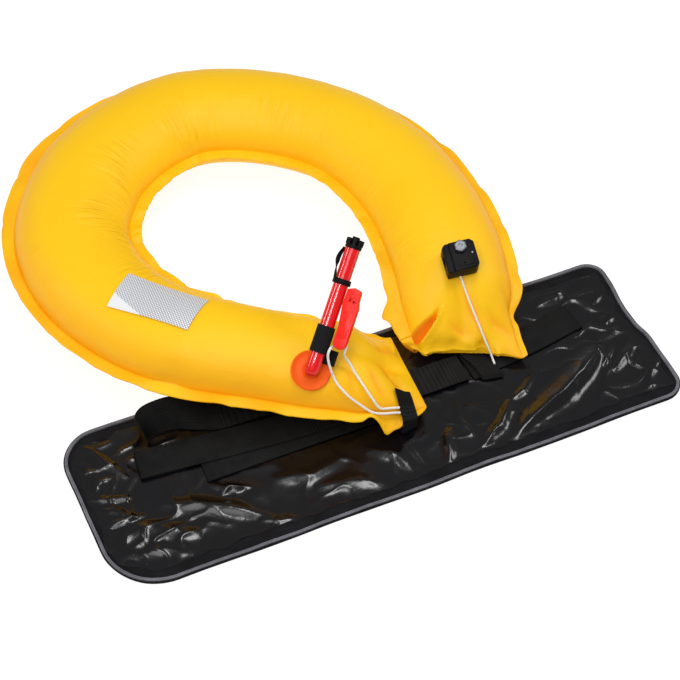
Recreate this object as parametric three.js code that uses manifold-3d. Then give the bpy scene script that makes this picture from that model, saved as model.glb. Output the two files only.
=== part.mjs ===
// Inflatable belt pack: an open flat pouch, its webbing belt and the horseshoe bladder, inflated.
// Millimetres, +Z up, lying on z = 0. Plan places are counted from the belt's middle, which lies
// on the pouch, and the whole group is moved last, so that the origin is the middle of its base.
import * as THREE from 'three';
import { mergeVertices } from 'three/addons/utils/BufferGeometryUtils.js';
import Module from 'manifold-3d';

const wasm = await Module();
wasm.setup();

// Clearance between pieces that touch.
const GAP = 0.3;

// Pouch: back panel, piping, closure band and wrinkled lining.
const POUCH_LENGTH = 676;
const POUCH_DEPTH = 222;
const POUCH_SHIFT = 4; // how far the pouch's middle lies right of the belt's
const CORNER_STEPS = 6;
const CORNERS = { nearLeft: 65, nearRight: 30, farRight: 30, farLeft: 45 };
const COVER_THICKNESS = 2;
const PIPING_WIDTH = 5;
const PIPING_HEIGHT = 4.6;
const PIPING_BEVEL = 1.2;
const BORDER_WIDTH = 14;
const BORDER_THICKNESS = 1.5;
const LINER_THICKNESS = 1.2;
const FOLD_HEIGHT = 10;

// Belt webbing and the narrow loops at the bladder's ends.
const WEBBING_WIDTH = 38;
const WEBBING_THICKNESS = 1.6;
const LOOP_WIDTH = 25;
const LOOP_THICKNESS = 1.4;
const LOOP_SPACE = 0.8;
const CORD_DIAMETER = 2.8;
const PULL_DIAMETER = 2.4;

// Bladder: plan size, tube section, welded flange and cloth.
const BLADDER_WIDTH = 561;
const BLADDER_LENGTH = 592;
const TUBE_WIDTH = 130;
const TUBE_HEIGHT = 100;
const FLANGE = 14;
const SKIN = 1.5;
const PLEAT_WIDTH = 0.2;
const BELLY_FLATNESS = 0.8;

// Reflective patch.
const PATCH_LENGTH = 100;
const PATCH_WIDTH = 50;
const PATCH_THICKNESS = 0.6;

// Oral inflation tube, its disc, cap, tether and elastic band.
const DISC_DIAMETER = 44;
const DISC_THICKNESS = 2;
const TUBE_DIAMETER = 16.5;
const TUBE_WALL = 1.8;
const ORAL_LENGTH = 136;
const ORAL_RISE = 38;
const ORAL_HEADING = 42;
const CAP_DIAMETER = 19.5;
const CAP_HEIGHT = 13;
const CAP_SKIRT = 5.2;
const CAP_LOBES = 8;
const CAP_LOBE_DEPTH = 2.1;
const TETHER_WIDTH = 6;
const TETHER_THICKNESS = 1.6;
const TETHER_STRAP = 4.5;
const TETHER_PLACE = 96;
const BAND_LENGTH = 30;
const BAND_PLACE = 19;
const BAND_THICKNESS = 1.4;
const BAND_TAIL = { width: 15, length: 17.5, aside: 1.5, along: -1.25, inset: 1.5 };

// Whistle.
const WHISTLE_LENGTH = 68;
const WHISTLE_WIDTH = 15;
const WHISTLE_SPACE = 2.5;
const WHISTLE_PLACE = 29;
const WHISTLE_THICKNESS = 8;
const WHISTLE_SLANT = 5;
const WINDOW = { width: 9, length: 4, depth: 2.5, aside: 1.5, fromMouth: 16 };

// Inflator.
const INFLATOR_LENGTH = 37;
const INFLATOR_DEPTH = 35;
const INFLATOR_HEIGHT = 20;
const INFLATOR_CORNER = 4;
const SOCKET_DIAMETER = 12.7;
const SOCKET_DEPTH = 15;
const NUT_WIDTH = 13;
const NUT_HEIGHT = 5;
const NUT_ASIDE = 2;
const NUT_FROM_BACK = 8;
const PIN_DIAMETER = 3;
const PIN_HEIGHT = 1;
const PIN_FROM_SIDE = 5;

// Heights of the layers on the pouch.
const LAYER_BASE = COVER_THICKNESS + GAP;
const LINER_TOP = LAYER_BASE + LINER_THICKNESS;
const WEBBING_STEP = WEBBING_THICKNESS + GAP;
const STACK = LINER_TOP + GAP + 2 * WEBBING_STEP + GAP;

// The bladder from the near arm's end, round the far side, to the right arm's end. x and y are
// shares of the bladder's width and length, body of the tube's width, crown and belly of its
// height, outer and inner of the flange, lift of the layers below it, and pleat is the depth of
// the dent along the middle of a flattened end, as a share of the crown.
const BLADDER_ROWS = [
  { x: 0.107, y: 0.051, body: 0.77, crown: 0.03, belly: 0.03, outer: 0.10, inner: 0.15, lift: 1.9, pleat: 0 },
  { x: 0.072, y: 0.053, body: 0.83, crown: 0.20, belly: 0.12, outer: 0.71, inner: 0.71, lift: 1.1, pleat: 0.45 },
  { x: 0.010, y: 0.062, body: 0.87, crown: 0.38, belly: 0.30, outer: 0.86, inner: 0.86, lift: 1.0, pleat: 0.15 },
  { x: -0.080, y: 0.096, body: 0.88, crown: 0.47, belly: 0.44, outer: 1.00, inner: 1.00, lift: 1.0, pleat: 0 },
  { x: -0.159, y: 0.144, body: 0.88, crown: 0.50, belly: 0.48, outer: 1.00, inner: 1.00, lift: 1.0, pleat: 0 },
  { x: -0.282, y: 0.233, body: 0.94, crown: 0.50, belly: 0.50, outer: 1.00, inner: 1.00, lift: 0.9, pleat: 0 },
  { x: -0.357, y: 0.334, body: 0.97, crown: 0.50, belly: 0.50, outer: 1.00, inner: 1.00, lift: 0.2, pleat: 0 },
  { x: -0.403, y: 0.453, body: 1.00, crown: 0.50, belly: 0.50, outer: 0.95, inner: 1.00, lift: 0, pleat: 0 },
  { x: -0.403, y: 0.568, body: 1.02, crown: 0.50, belly: 0.50, outer: 1.05, inner: 1.00, lift: 0, pleat: 0 },
  { x: -0.362, y: 0.659, body: 1.03, crown: 0.50, belly: 0.50, outer: 1.30, inner: 1.00, lift: 0, pleat: 0 },
  { x: -0.280, y: 0.745, body: 1.03, crown: 0.50, belly: 0.50, outer: 1.45, inner: 1.00, lift: 0, pleat: 0 },
  { x: -0.162, y: 0.801, body: 1.02, crown: 0.50, belly: 0.50, outer: 1.20, inner: 1.00, lift: 0, pleat: 0 },
  { x: -0.037, y: 0.812, body: 0.98, crown: 0.50, belly: 0.50, outer: 1.00, inner: 1.00, lift: 0, pleat: 0 },
  { x: 0.100, y: 0.757, body: 0.95, crown: 0.51, belly: 0.50, outer: 1.00, inner: 1.00, lift: 0, pleat: 0 },
  { x: 0.221, y: 0.651, body: 0.93, crown: 0.51, belly: 0.50, outer: 1.00, inner: 1.00, lift: 0, pleat: 0 },
  { x: 0.282, y: 0.535, body: 0.96, crown: 0.50, belly: 0.50, outer: 1.00, inner: 1.00, lift: 0, pleat: 0 },
  { x: 0.303, y: 0.424, body: 0.98, crown: 0.50, belly: 0.50, outer: 1.00, inner: 1.00, lift: 0, pleat: 0 },
  { x: 0.299, y: 0.321, body: 1.00, crown: 0.48, belly: 0.49, outer: 1.00, inner: 1.00, lift: 0.4, pleat: 0 },
  { x: 0.284, y: 0.230, body: 1.00, crown: 0.44, belly: 0.42, outer: 1.00, inner: 1.00, lift: 1.0, pleat: 0 },
  { x: 0.262, y: 0.152, body: 0.96, crown: 0.39, belly: 0.33, outer: 0.86, inner: 1.40, lift: 1.1, pleat: 0.1 },
  { x: 0.246, y: 0.088, body: 0.90, crown: 0.22, belly: 0.14, outer: 0.50, inner: 1.00, lift: 1.3, pleat: 0.5 },
  { x: 0.235, y: 0.051, body: 0.89, crown: 0.03, belly: 0.03, outer: 0.57, inner: 0.57, lift: 1.6, pleat: 0 },
];
const STATIONS_PER_ROW = 2;
const ARC_STEPS = 12;

// Where pieces sit on the bladder: row is a place between the rows above, across runs from -1 at
// the tube's outer side to 1 at its inner side, and turn is an angle from the tube's run.
const PATCH_SEAT = { row: 5.56, across: 0.09, turn: -49 };
const DISC_SEAT = { row: 3.0, across: -0.62 };
const INFLATOR_SEAT = { row: 18.64, across: -0.08, turn: -8.6 };

// Folds of the lining: x and y are shares of the pouch's length and depth, length and width shares
// of its depth, height of the fold height, and turn is the ridge's direction in degrees.
const LINER_FOLDS = [
  { x: 0.235, y: -0.36, length: 0.34, width: 0.07, height: 1.0, turn: 16 },
  { x: 0.335, y: -0.19, length: 0.42, width: 0.07, height: 1.0, turn: 43 },
  { x: 0.168, y: -0.29, length: 0.30, width: 0.06, height: 0.8, turn: 34 },
  { x: 0.083, y: -0.32, length: 0.22, width: 0.05, height: 0.6, turn: 56 },
  { x: 0.018, y: -0.30, length: 0.24, width: 0.05, height: 0.7, turn: -24 },
  { x: -0.065, y: -0.21, length: 0.28, width: 0.05, height: 0.5, turn: 0 },
  { x: -0.028, y: -0.33, length: 0.22, width: 0.05, height: 0.6, turn: -84 },
  { x: 0.445, y: 0.04, length: 0.14, width: 0.05, height: 0.8, turn: -10 },
  { x: 0.42, y: -0.15, length: 0.26, width: 0.06, height: 0.8, turn: 32 },
  { x: 0.44, y: -0.34, length: 0.20, width: 0.05, height: 0.7, turn: 28 },
  { x: 0.405, y: 0.355, length: 0.20, width: 0.04, height: 0.8, turn: -15 },
  { x: -0.445, y: 0.25, length: 0.26, width: 0.05, height: 0.8, turn: -76 },
  { x: -0.44, y: 0.10, length: 0.20, width: 0.05, height: 0.6, turn: -39 },
  { x: -0.38, y: -0.26, length: 0.42, width: 0.06, height: 0.8, turn: -42 },
  { x: -0.25, y: -0.27, length: 0.24, width: 0.05, height: 0.6, turn: -24 },
  { x: -0.22, y: -0.38, length: 0.26, width: 0.05, height: 0.7, turn: -8 },
];
const LINER_COLUMNS = 36;
const LINER_LINES = 12;

// Webbing centre lines in plan, as shares of the pouch's length and depth. turn is the direction
// of the webbing's width and tilt its lean from flat, in degrees.
const BELT_FRONT_ROWS = [
  { x: 0.183, y: 0.098, turn: 88, tilt: 0 },
  { x: -0.088, y: 0.102, turn: 87, tilt: 0 },
  { x: -0.200, y: 0.126, turn: 85, tilt: 0 },
  { x: -0.301, y: 0.160, turn: 84, tilt: 0 },
  { x: -0.383, y: 0.186, turn: 83, tilt: 0 },
];
const BELT_FOLD_BACK = 0.07;
const BELT_TAIL_ROWS = [
  { x: 0.02, y: 0.045, turn: 90, tilt: 0 },
  { x: -0.29, y: 0.045, turn: 86, tilt: 0 },
];
const BELT_BACK_ROWS = [
  { x: -0.356, y: 0.286, turn: 178, tilt: 74 },
  { x: -0.358, y: 0.325, turn: 165, tilt: 72 },
  { x: -0.350, y: 0.362, turn: 130, tilt: 64 },
  { x: -0.332, y: 0.382, turn: 100, tilt: 55 },
  { x: -0.298, y: 0.382, turn: 88, tilt: 48 },
  { x: -0.260, y: 0.352, turn: 86, tilt: 15 },
  { x: -0.220, y: 0.318, turn: 84, tilt: 0 },
  { x: -0.080, y: 0.300, turn: 84, tilt: 0 },
];
const BELT_RIGHT_ROWS = [
  { x: 0.190, y: 0.090, turn: 92, tilt: 0 },
  { x: 0.300, y: 0.125, turn: 96, tilt: 0 },
  { x: 0.406, y: 0.178, turn: 97, tilt: 0 },
];

// Arm loops. Left: places on the bladder's upper face, row as in its table and across from the
// outer side. Right: plan shares of the pouch, with the height as a share of the layers' stack.
const LEFT_LOOP = { rows: [0.76, 0.92, 1.08, 1.24, 1.4], acrosses: [-0.66, -0.8, -0.92], under: 26 };
const RIGHT_LOOP_ROWS = [
  { x: 0.202, y: 0.190, level: 1.12, turn: -22, tilt: 0 },
  { x: 0.216, y: 0.070, level: 1.10, turn: -18, tilt: 0 },
  { x: 0.219, y: 0.005, level: 1.06, turn: -14, tilt: 0 },
  { x: 0.220, y: -0.028, level: 0.66, turn: -12, tilt: 0 },
];

// The whistle's cord, from the left arm loop up round the whistle's foot and back to the loop.
const WHISTLE_CORD_ROUTE = [
  [22.2, -27.2, 33.3], [15, -26.5, 36], [8, -26, 38], [1, -23.5, 38.5], [-6, -21, 40.5], [-12, -17.8, 44.5],
  [-19, -14, 52], [-25.5, -9.8, 59.2], [-30.5, -6, 65], [-34.5, -1, 71], [-38.5, 4.5, 77.5],
  [-40.5, 10.8, 84.5], [-43, 13.6, 96.8], [-43.8, 16.9, 107], [-43.4, 18.6, 114.5], [-40.5, 21, 118.5],
  [-36.5, 24.6, 117], [-33, 27.5, 113.2], [-29.4, 28.9, 113.8], [-25.6, 29.2, 116.2], [-21.8, 27.2, 117.4],
  [-20.2, 23.3, 116.2], [-21.5, 20, 113.8], [-24, 18.5, 109.5], [-23.5, 20, 101], [-20, 20.5, 92],
  [-17.5, 17, 86], [-15.5, 12, 79.5], [-13, 5.5, 73.5], [-10.5, -2.2, 68], [-8, -9, 62.5],
  [-4.5, -14.4, 54.6], [-1.5, -18.4, 47.5], [3, -20.5, 42.5], [9, -21.4, 41], [15, -22.2, 39.5], [23, -23.2, 37.4],
];

// The pull cord, from the inflator's front down the arm to the right arm loop.
const PULL_CORD_ROUTE = [
  [149.4, 87.6, 81.7], [149.5, 82, 78], [150, 76, 71.5], [150.5, 69, 65], [151, 61.5, 59],
  [151.5, 54.5, 53.5], [152.3, 47.5, 47.5], [153, 40.7, 41.5], [153.8, 34, 35.2], [154.7, 28.4, 29.5],
  [155.8, 23.9, 24], [157.2, 20.6, 18.5], [157.9, 17.2, 13.9], [157.8, 13.2, 11.4], [157.2, 8.4, 10.9],
];

const COLOURS = {
  cloth: 0x1b1b1d,
  gloss: 0x0d0d10,
  piping: 0x7d7f84,
  webbing: 0x242628,
  yellow: 0xffc31a,
  patch: 0xc9ccd0,
  disc: 0xff6a2a,
  red: 0xe3141c,
  whistle: 0xff4035,
  black: 0x17171a,
  steel: 0xb9bcc0,
  cord: 0xf2efe6,
};

// Materials by finish.

function finish(colour, roughness, metalness = 0) {
  return new THREE.MeshStandardMaterial({ color: colour, roughness, metalness });
}

// Shared shape functions.

function blend(rows, key, place) {
  // A column's value between its rows, on a smooth curve through them.
  const last = rows.length - 1;
  const i = Math.min(Math.floor(place), last - 1);
  const t = place - i;
  const at = (k) => rows[THREE.MathUtils.clamp(k, 0, last)][key];
  const [a, b, c, d] = [at(i - 1), at(i), at(i + 1), at(i + 2)];
  return b + 0.5 * t * (c - a + t * (2 * a - 5 * b + 4 * c - d + t * (3 * (b - c) + d - a)));
}

function volumeOf(points, faces) {
  return faces.reduce((sum, [a, b, c]) => {
    const cross = new THREE.Vector3().crossVectors(points[b], points[c]);
    return sum + points[a].dot(cross);
  }, 0) / 6;
}

function bodyOf(points, faces) {
  // One closed body, with its faces turned out.
  const out = volumeOf(points, faces) > 0;
  const geometry = new THREE.BufferGeometry().setFromPoints(points);
  geometry.setIndex(faces.flatMap(([a, b, c]) => (out ? [a, b, c] : [a, c, b])));
  geometry.computeVertexNormals();
  return geometry;
}

function wall(outside, inside) {
  // A closed wall between two grids of points with the same rows and columns.
  const rows = outside.length;
  const columns = outside[0].length;
  const points = [...outside.flat(), ...inside.flat()];
  const outer = (r, c) => r * columns + c;
  const inner = (r, c) => (rows + r) * columns + c;
  const faces = [];
  const quad = (a, b, c, d) => faces.push([a, b, c], [a, c, d]);
  for (let r = 0; r < rows - 1; r++) {
    for (let c = 0; c < columns - 1; c++) {
      quad(outer(r, c), outer(r, c + 1), outer(r + 1, c + 1), outer(r + 1, c));
      quad(inner(r, c), inner(r + 1, c), inner(r + 1, c + 1), inner(r, c + 1));
    }
    quad(outer(r, 0), outer(r + 1, 0), inner(r + 1, 0), inner(r, 0));
    quad(outer(r + 1, columns - 1), outer(r, columns - 1), inner(r, columns - 1), inner(r + 1, columns - 1));
  }
  for (let c = 0; c < columns - 1; c++) {
    quad(outer(0, c + 1), outer(0, c), inner(0, c), inner(0, c + 1));
    quad(outer(rows - 1, c), outer(rows - 1, c + 1), inner(rows - 1, c + 1), inner(rows - 1, c));
  }
  return bodyOf(points, faces);
}

function toManifold(geometry) {
  const bare = geometry.clone();
  bare.deleteAttribute('normal');
  bare.deleteAttribute('uv');
  const merged = mergeVertices(bare);
  return new wasm.Manifold(new wasm.Mesh({
    numProp: 3,
    vertProperties: Float32Array.from(merged.attributes.position.array),
    triVerts: Uint32Array.from(merged.index.array),
  }));
}

function fromManifold(solid) {
  const { vertProperties, triVerts } = solid.getMesh();
  const geometry = new THREE.BufferGeometry();
  geometry.setAttribute('position', new THREE.BufferAttribute(Float32Array.from(vertProperties), 3));
  geometry.setIndex(new THREE.BufferAttribute(Uint32Array.from(triVerts), 1));
  geometry.computeVertexNormals();
  return geometry;
}

function extruded(shape, height, bevel, curveSegments) {
  // A flat piece of the shape's outline and the height, from z = 0, with bevelled edges.
  const geometry = new THREE.ExtrudeGeometry(shape, {
    depth: height - 2 * bevel,
    bevelEnabled: bevel > 0,
    bevelSize: bevel,
    bevelThickness: bevel,
    bevelOffset: -bevel,
    bevelSegments: 1,
    curveSegments,
  });
  return geometry.translate(0, 0, bevel);
}

function ribbon(rows, width, thickness, heightAt) {
  // A flat band through the rows, resting on its lower edge where it leans.
  const centres = rows.map((row) => {
    const lean = THREE.MathUtils.degToRad(row.tilt);
    const rise = (width / 2) * Math.abs(Math.sin(lean)) + (thickness / 2) * Math.cos(lean);
    return new THREE.Vector3(row.x * POUCH_LENGTH, row.y * POUCH_DEPTH, heightAt(row) + rise);
  });
  return band(centres, rows, width, thickness);
}

function band(centres, rows, width, thickness) {
  // A flat band through the centres, whose width points as each row's turn and tilt say.
  const face = (side) => centres.map((centre, i) => {
    const before = centres[Math.max(i - 1, 0)];
    const after = centres[Math.min(i + 1, centres.length - 1)];
    const run = after.clone().sub(before).normalize();
    const turn = THREE.MathUtils.degToRad(rows[i].turn);
    const lean = THREE.MathUtils.degToRad(rows[i].tilt);
    const across = new THREE.Vector3(
      Math.cos(turn) * Math.cos(lean),
      Math.sin(turn) * Math.cos(lean),
      Math.sin(lean),
    );
    const up = new THREE.Vector3().crossVectors(across, run).normalize().multiplyScalar(side * thickness / 2);
    return [-0.5, 0.5].map((share) => centre.clone().addScaledVector(across, share * width).add(up));
  });
  return wall(face(1), face(-1));
}

function refined(rows, steps) {
  // The rows with smooth steps between them.
  const keys = Object.keys(rows[0]);
  const count = (rows.length - 1) * steps;
  return Array.from({ length: count + 1 }, (_, k) => Object.fromEntries(
    keys.map((key) => [key, blend(rows, key, k / steps)]),
  ));
}

// Bladder surface.

function bladderSection(place) {
  const value = (key) => blend(BLADDER_ROWS, key, place);
  const planAt = (p) => new THREE.Vector2(
    blend(BLADDER_ROWS, 'x', p) * BLADDER_WIDTH,
    blend(BLADDER_ROWS, 'y', p) * BLADDER_LENGTH,
  );
  const last = BLADDER_ROWS.length - 1;
  const step = 0.1;
  const ahead = planAt(Math.min(place + step, last)).sub(planAt(Math.max(place - step, 0))).normalize();
  const belly = value('belly') * TUBE_HEIGHT;
  return {
    centre: planAt(place),
    ahead,
    inward: new THREE.Vector2(ahead.y, -ahead.x),
    half: value('body') * TUBE_WIDTH / 2,
    crown: value('crown') * TUBE_HEIGHT,
    belly,
    outer: value('outer') * FLANGE,
    inner: value('inner') * FLANGE,
    pleat: value('pleat'),
    seam: Math.max(value('lift'), 0) * STACK + belly,
  };
}

function sectionPoint(section, offset, height) {
  const plan = section.centre.clone().addScaledVector(section.inward, offset);
  return new THREE.Vector3(plan.x, plan.y, section.seam + height);
}

function arcHeight(section, side, across) {
  // Height over the flange at a share of the half width, for the upper (1) or lower (-1) panel.
  const rise = (side > 0 ? section.crown : section.belly) - SKIN - GAP / 2;
  const round = Math.sqrt(Math.max(1 - across * across, 0));
  const dent = 1 - section.pleat * Math.exp(-((across / PLEAT_WIDTH) ** 2));
  return rise * (side > 0 ? round * dent : round ** BELLY_FLATNESS);
}

function panelFace(side, depth) {
  // Grid of one panel's outer face (depth 0) or of its inner face (depth of the skin).
  const count = (BLADDER_ROWS.length - 1) * STATIONS_PER_ROW;
  const level = GAP / 2 + SKIN - depth;
  return Array.from({ length: count + 1 }, (_, k) => {
    const section = bladderSection(k / STATIONS_PER_ROW);
    const arc = Array.from({ length: ARC_STEPS + 1 }, (__, j) => {
      const across = -Math.cos((Math.PI * j) / ARC_STEPS);
      const height = level + arcHeight(section, side, across);
      return sectionPoint(section, across * (section.half - depth), side * height);
    });
    return [
      sectionPoint(section, -section.half - section.outer, side * level),
      ...arc,
      sectionPoint(section, section.half + section.inner, side * level),
    ];
  });
}

function onBladder(row, across, clear = 0) {
  // A point of the upper panel's outer face, raised by clear along the face's normal.
  const at = (r, a) => {
    const section = bladderSection(r);
    const height = GAP / 2 + SKIN + arcHeight(section, 1, a);
    return sectionPoint(section, a * section.half, height);
  };
  const small = 0.01;
  const point = at(row, across);
  const alongRun = at(row + small, across).sub(at(row - small, across)).normalize();
  const inward = at(row, across + small).sub(at(row, across - small)).normalize();
  const normal = new THREE.Vector3().crossVectors(inward, alongRun).normalize();
  return { point: point.addScaledVector(normal, clear), alongRun, inward, normal };
}

// Pouch pieces.

function pouchOutline(inset, path = new THREE.Shape()) {
  const right = POUCH_LENGTH / 2 - inset;
  const far = POUCH_DEPTH / 2 - inset;
  const corner = (x, y, size, start) => {
    const radius = size - inset;
    path.absarc(x - Math.sign(x) * radius, y - Math.sign(y) * radius, radius, start, start + Math.PI / 2);
  };
  corner(right, -far, CORNERS.nearRight, -Math.PI / 2);
  corner(right, far, CORNERS.farRight, 0);
  corner(-right, far, CORNERS.farLeft, Math.PI / 2);
  corner(-right, -far, CORNERS.nearLeft, Math.PI);
  path.closePath();
  return path;
}

function pouchRing(from, to) {
  const shape = pouchOutline(from);
  shape.holes.push(pouchOutline(to, new THREE.Path()));
  return shape;
}

function pouchCover() {
  return extruded(pouchOutline(0), COVER_THICKNESS, 0, CORNER_STEPS);
}

function pouchPiping() {
  return extruded(pouchRing(0, PIPING_WIDTH), PIPING_HEIGHT, PIPING_BEVEL, CORNER_STEPS).translate(0, 0, LAYER_BASE);
}

function pouchBorder() {
  const from = PIPING_WIDTH + GAP;
  return extruded(pouchRing(from, from + BORDER_WIDTH), BORDER_THICKNESS, 0, CORNER_STEPS).translate(0, 0, LAYER_BASE);
}

function edgeReach(x, inset) {
  // The lowest and highest y of the rounded outline at x.
  const right = POUCH_LENGTH / 2 - inset;
  const far = POUCH_DEPTH / 2 - inset;
  const reach = (size) => {
    const radius = size - inset;
    const into = Math.max(Math.abs(x) - (right - radius), 0);
    return far - radius + Math.sqrt(Math.max(radius * radius - into * into, 0));
  };
  return x < 0
    ? [-reach(CORNERS.nearLeft), reach(CORNERS.farLeft)]
    : [-reach(CORNERS.nearRight), reach(CORNERS.farRight)];
}

function foldHeight(x, y) {
  return LINER_FOLDS.reduce((sum, fold) => {
    const turn = THREE.MathUtils.degToRad(fold.turn);
    const dx = x - fold.x * POUCH_LENGTH;
    const dy = y - fold.y * POUCH_DEPTH;
    const along = (dx * Math.cos(turn) + dy * Math.sin(turn)) / (fold.length * POUCH_DEPTH / 2);
    const off = (dy * Math.cos(turn) - dx * Math.sin(turn)) / (fold.width * POUCH_DEPTH);
    return sum + fold.height * FOLD_HEIGHT * Math.exp(-(along ** 4) - off * off);
  }, 0);
}

function pouchLiner() {
  const inset = PIPING_WIDTH + BORDER_WIDTH + 2 * GAP;
  const half = POUCH_LENGTH / 2 - inset;
  const face = (level) => Array.from({ length: LINER_COLUMNS + 1 }, (_, i) => {
    const x = half * Math.sin((Math.PI / 2) * (2 * i / LINER_COLUMNS - 1) * 0.86) / Math.sin(Math.PI * 0.43);
    const [low, high] = edgeReach(x, inset);
    return Array.from({ length: LINER_LINES + 1 }, (__, j) => {
      const y = low + ((high - low) * j) / LINER_LINES;
      const edge = (1 - (x / half) ** 16) * (1 - ((2 * j) / LINER_LINES - 1) ** 8);
      return new THREE.Vector3(x, y, level + foldHeight(x, y) * edge);
    });
  });
  return wall(face(LINER_TOP), face(LAYER_BASE));
}

// Belt pieces.

const LOWER_LAYER = () => LINER_TOP + GAP;
const UPPER_LAYER = () => LOWER_LAYER() + WEBBING_STEP;

function beltFront() {
  // The front run, and its end folded under by a half turn.
  const run = BELT_FRONT_ROWS.map((row) => ({ ...row, level: UPPER_LAYER() + WEBBING_THICKNESS / 2 }));
  const end = run[run.length - 1];
  const radius = WEBBING_STEP / 2;
  const turnSteps = 4;
  const bend = Array.from({ length: turnSteps }, (_, k) => {
    const angle = (Math.PI * (k + 1)) / turnSteps;
    return {
      ...end,
      x: end.x - (radius * Math.sin(angle)) / POUCH_LENGTH,
      level: end.level - radius * (1 - Math.cos(angle)),
    };
  });
  const under = { ...bend[bend.length - 1], x: end.x + BELT_FOLD_BACK, y: end.y - 0.022 };
  const rows = [...run, ...bend, under];
  const centres = rows.map((row) => new THREE.Vector3(row.x * POUCH_LENGTH, row.y * POUCH_DEPTH, row.level));
  return band(centres, rows, WEBBING_WIDTH, WEBBING_THICKNESS);
}

function beltTail() {
  return ribbon(BELT_TAIL_ROWS, WEBBING_WIDTH, WEBBING_THICKNESS, LOWER_LAYER);
}

function beltBack() {
  return ribbon(refined(BELT_BACK_ROWS, 2), WEBBING_WIDTH, WEBBING_THICKNESS, LOWER_LAYER);
}

function beltRight() {
  return ribbon(BELT_RIGHT_ROWS, WEBBING_WIDTH, WEBBING_THICKNESS, LOWER_LAYER);
}

// Arm loops and cords.

function armLoopLeft() {
  // Out of the arm's upper face, over its flange and down, then in under the arm.
  const weld = GAP / 2 + SKIN;
  const face = (clear) => LEFT_LOOP.rows.map((row) => {
    const section = bladderSection(row);
    const edge = -section.half - section.outer;
    const low = LINER_TOP + GAP + LOOP_THICKNESS - (clear - LOOP_SPACE);
    return [
      ...LEFT_LOOP.acrosses.map((across) => onBladder(row, across, clear).point),
      sectionPoint(section, edge - clear, weld + clear),
      sectionPoint(section, edge - clear, -weld),
      sectionPoint(section, edge - clear, 0).setZ(low),
      sectionPoint(section, edge + LEFT_LOOP.under, 0).setZ(low),
    ];
  });
  return wall(face(LOOP_SPACE + LOOP_THICKNESS), face(LOOP_SPACE));
}

function armLoopRight() {
  // From below the arm's end, over the belt and down to the lining.
  const centres = RIGHT_LOOP_ROWS.map((row) => new THREE.Vector3(
    row.x * POUCH_LENGTH,
    row.y * POUCH_DEPTH,
    row.level * STACK,
  ));
  return band(centres, RIGHT_LOOP_ROWS, LOOP_WIDTH, LOOP_THICKNESS);
}

function cordTube(route, diameter, steps) {
  const curve = new THREE.CatmullRomCurve3(route.map((point) => new THREE.Vector3(...point)));
  const section = new THREE.Shape();
  const sides = 8;
  for (let k = 0; k < sides; k++) {
    const angle = (2 * Math.PI * k) / sides;
    const point = [(diameter / 2) * Math.cos(angle), (diameter / 2) * Math.sin(angle)];
    if (k === 0) section.moveTo(...point);
    else section.lineTo(...point);
  }
  section.closePath();
  return new THREE.ExtrudeGeometry(section, { steps, extrudePath: curve, bevelEnabled: false });
}

// Pieces on the bladder.

function seatOver(plan, near) {
  // The row and across place of the bladder above or below a point of the plan.
  let row = near;
  for (let k = 0; k < 8; k++) {
    const section = bladderSection(row);
    const span = bladderSection(row + 0.5).centre.distanceTo(bladderSection(row - 0.5).centre);
    row += plan.clone().sub(section.centre).dot(section.ahead) / span;
  }
  const section = bladderSection(row);
  return { row, across: plan.clone().sub(section.centre).dot(section.inward) / section.half };
}

function patchFace(clear) {
  // Grid of the patch's face, laid straight over the bladder's crown.
  const seat = bladderSection(PATCH_SEAT.row);
  const middle = seat.centre.clone().addScaledVector(seat.inward, PATCH_SEAT.across * seat.half);
  const turn = THREE.MathUtils.degToRad(PATCH_SEAT.turn);
  const along = new THREE.Vector2(Math.cos(turn), Math.sin(turn));
  const aside = new THREE.Vector2(-Math.sin(turn), Math.cos(turn));
  const columns = 10;
  const lines = 5;
  return Array.from({ length: columns + 1 }, (_, i) => Array.from({ length: lines + 1 }, (__, j) => {
    const plan = middle.clone()
      .addScaledVector(along, (i / columns - 0.5) * PATCH_LENGTH)
      .addScaledVector(aside, (j / lines - 0.5) * PATCH_WIDTH);
    const place = seatOver(plan, PATCH_SEAT.row);
    return onBladder(place.row, place.across, clear).point;
  }));
}

function reflectivePatch() {
  const clear = GAP + 0.4;
  return wall(patchFace(clear + PATCH_THICKNESS), patchFace(clear));
}

// The oral tube's frame: its foot on the disc and its direction, up and away from the arm.
const disc = onBladder(DISC_SEAT.row, DISC_SEAT.across, GAP);
const tubeFoot = disc.point.clone().addScaledVector(disc.normal, DISC_THICKNESS + GAP + TUBE_DIAMETER / 2);
const heading = THREE.MathUtils.degToRad(ORAL_HEADING);
const rise = THREE.MathUtils.degToRad(ORAL_RISE);
const tubeRun = new THREE.Vector3(
  Math.cos(rise) * Math.cos(heading),
  Math.cos(rise) * Math.sin(heading),
  Math.sin(rise),
);
const tubeSide = new THREE.Vector3(Math.sin(heading), -Math.cos(heading), 0);

function frameAt(point, x, z) {
  // A group frame at the point, with the given X and Z directions.
  const y = new THREE.Vector3().crossVectors(z, x).normalize();
  const group = new THREE.Group();
  group.quaternion.setFromRotationMatrix(new THREE.Matrix4().makeBasis(x, y, z));
  group.position.copy(point);
  return group;
}

function valveDisc() {
  return new THREE.CylinderGeometry(DISC_DIAMETER / 2, DISC_DIAMETER / 2, DISC_THICKNESS, 28)
    .rotateX(Math.PI / 2)
    .translate(0, 0, DISC_THICKNESS / 2);
}

function lathed(profile, sides) {
  // A turned piece about Z from points of radius and height.
  const points = profile.map(([r, z]) => new THREE.Vector2(r, z));
  return new THREE.LatheGeometry(points, sides).rotateX(Math.PI / 2);
}

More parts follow.
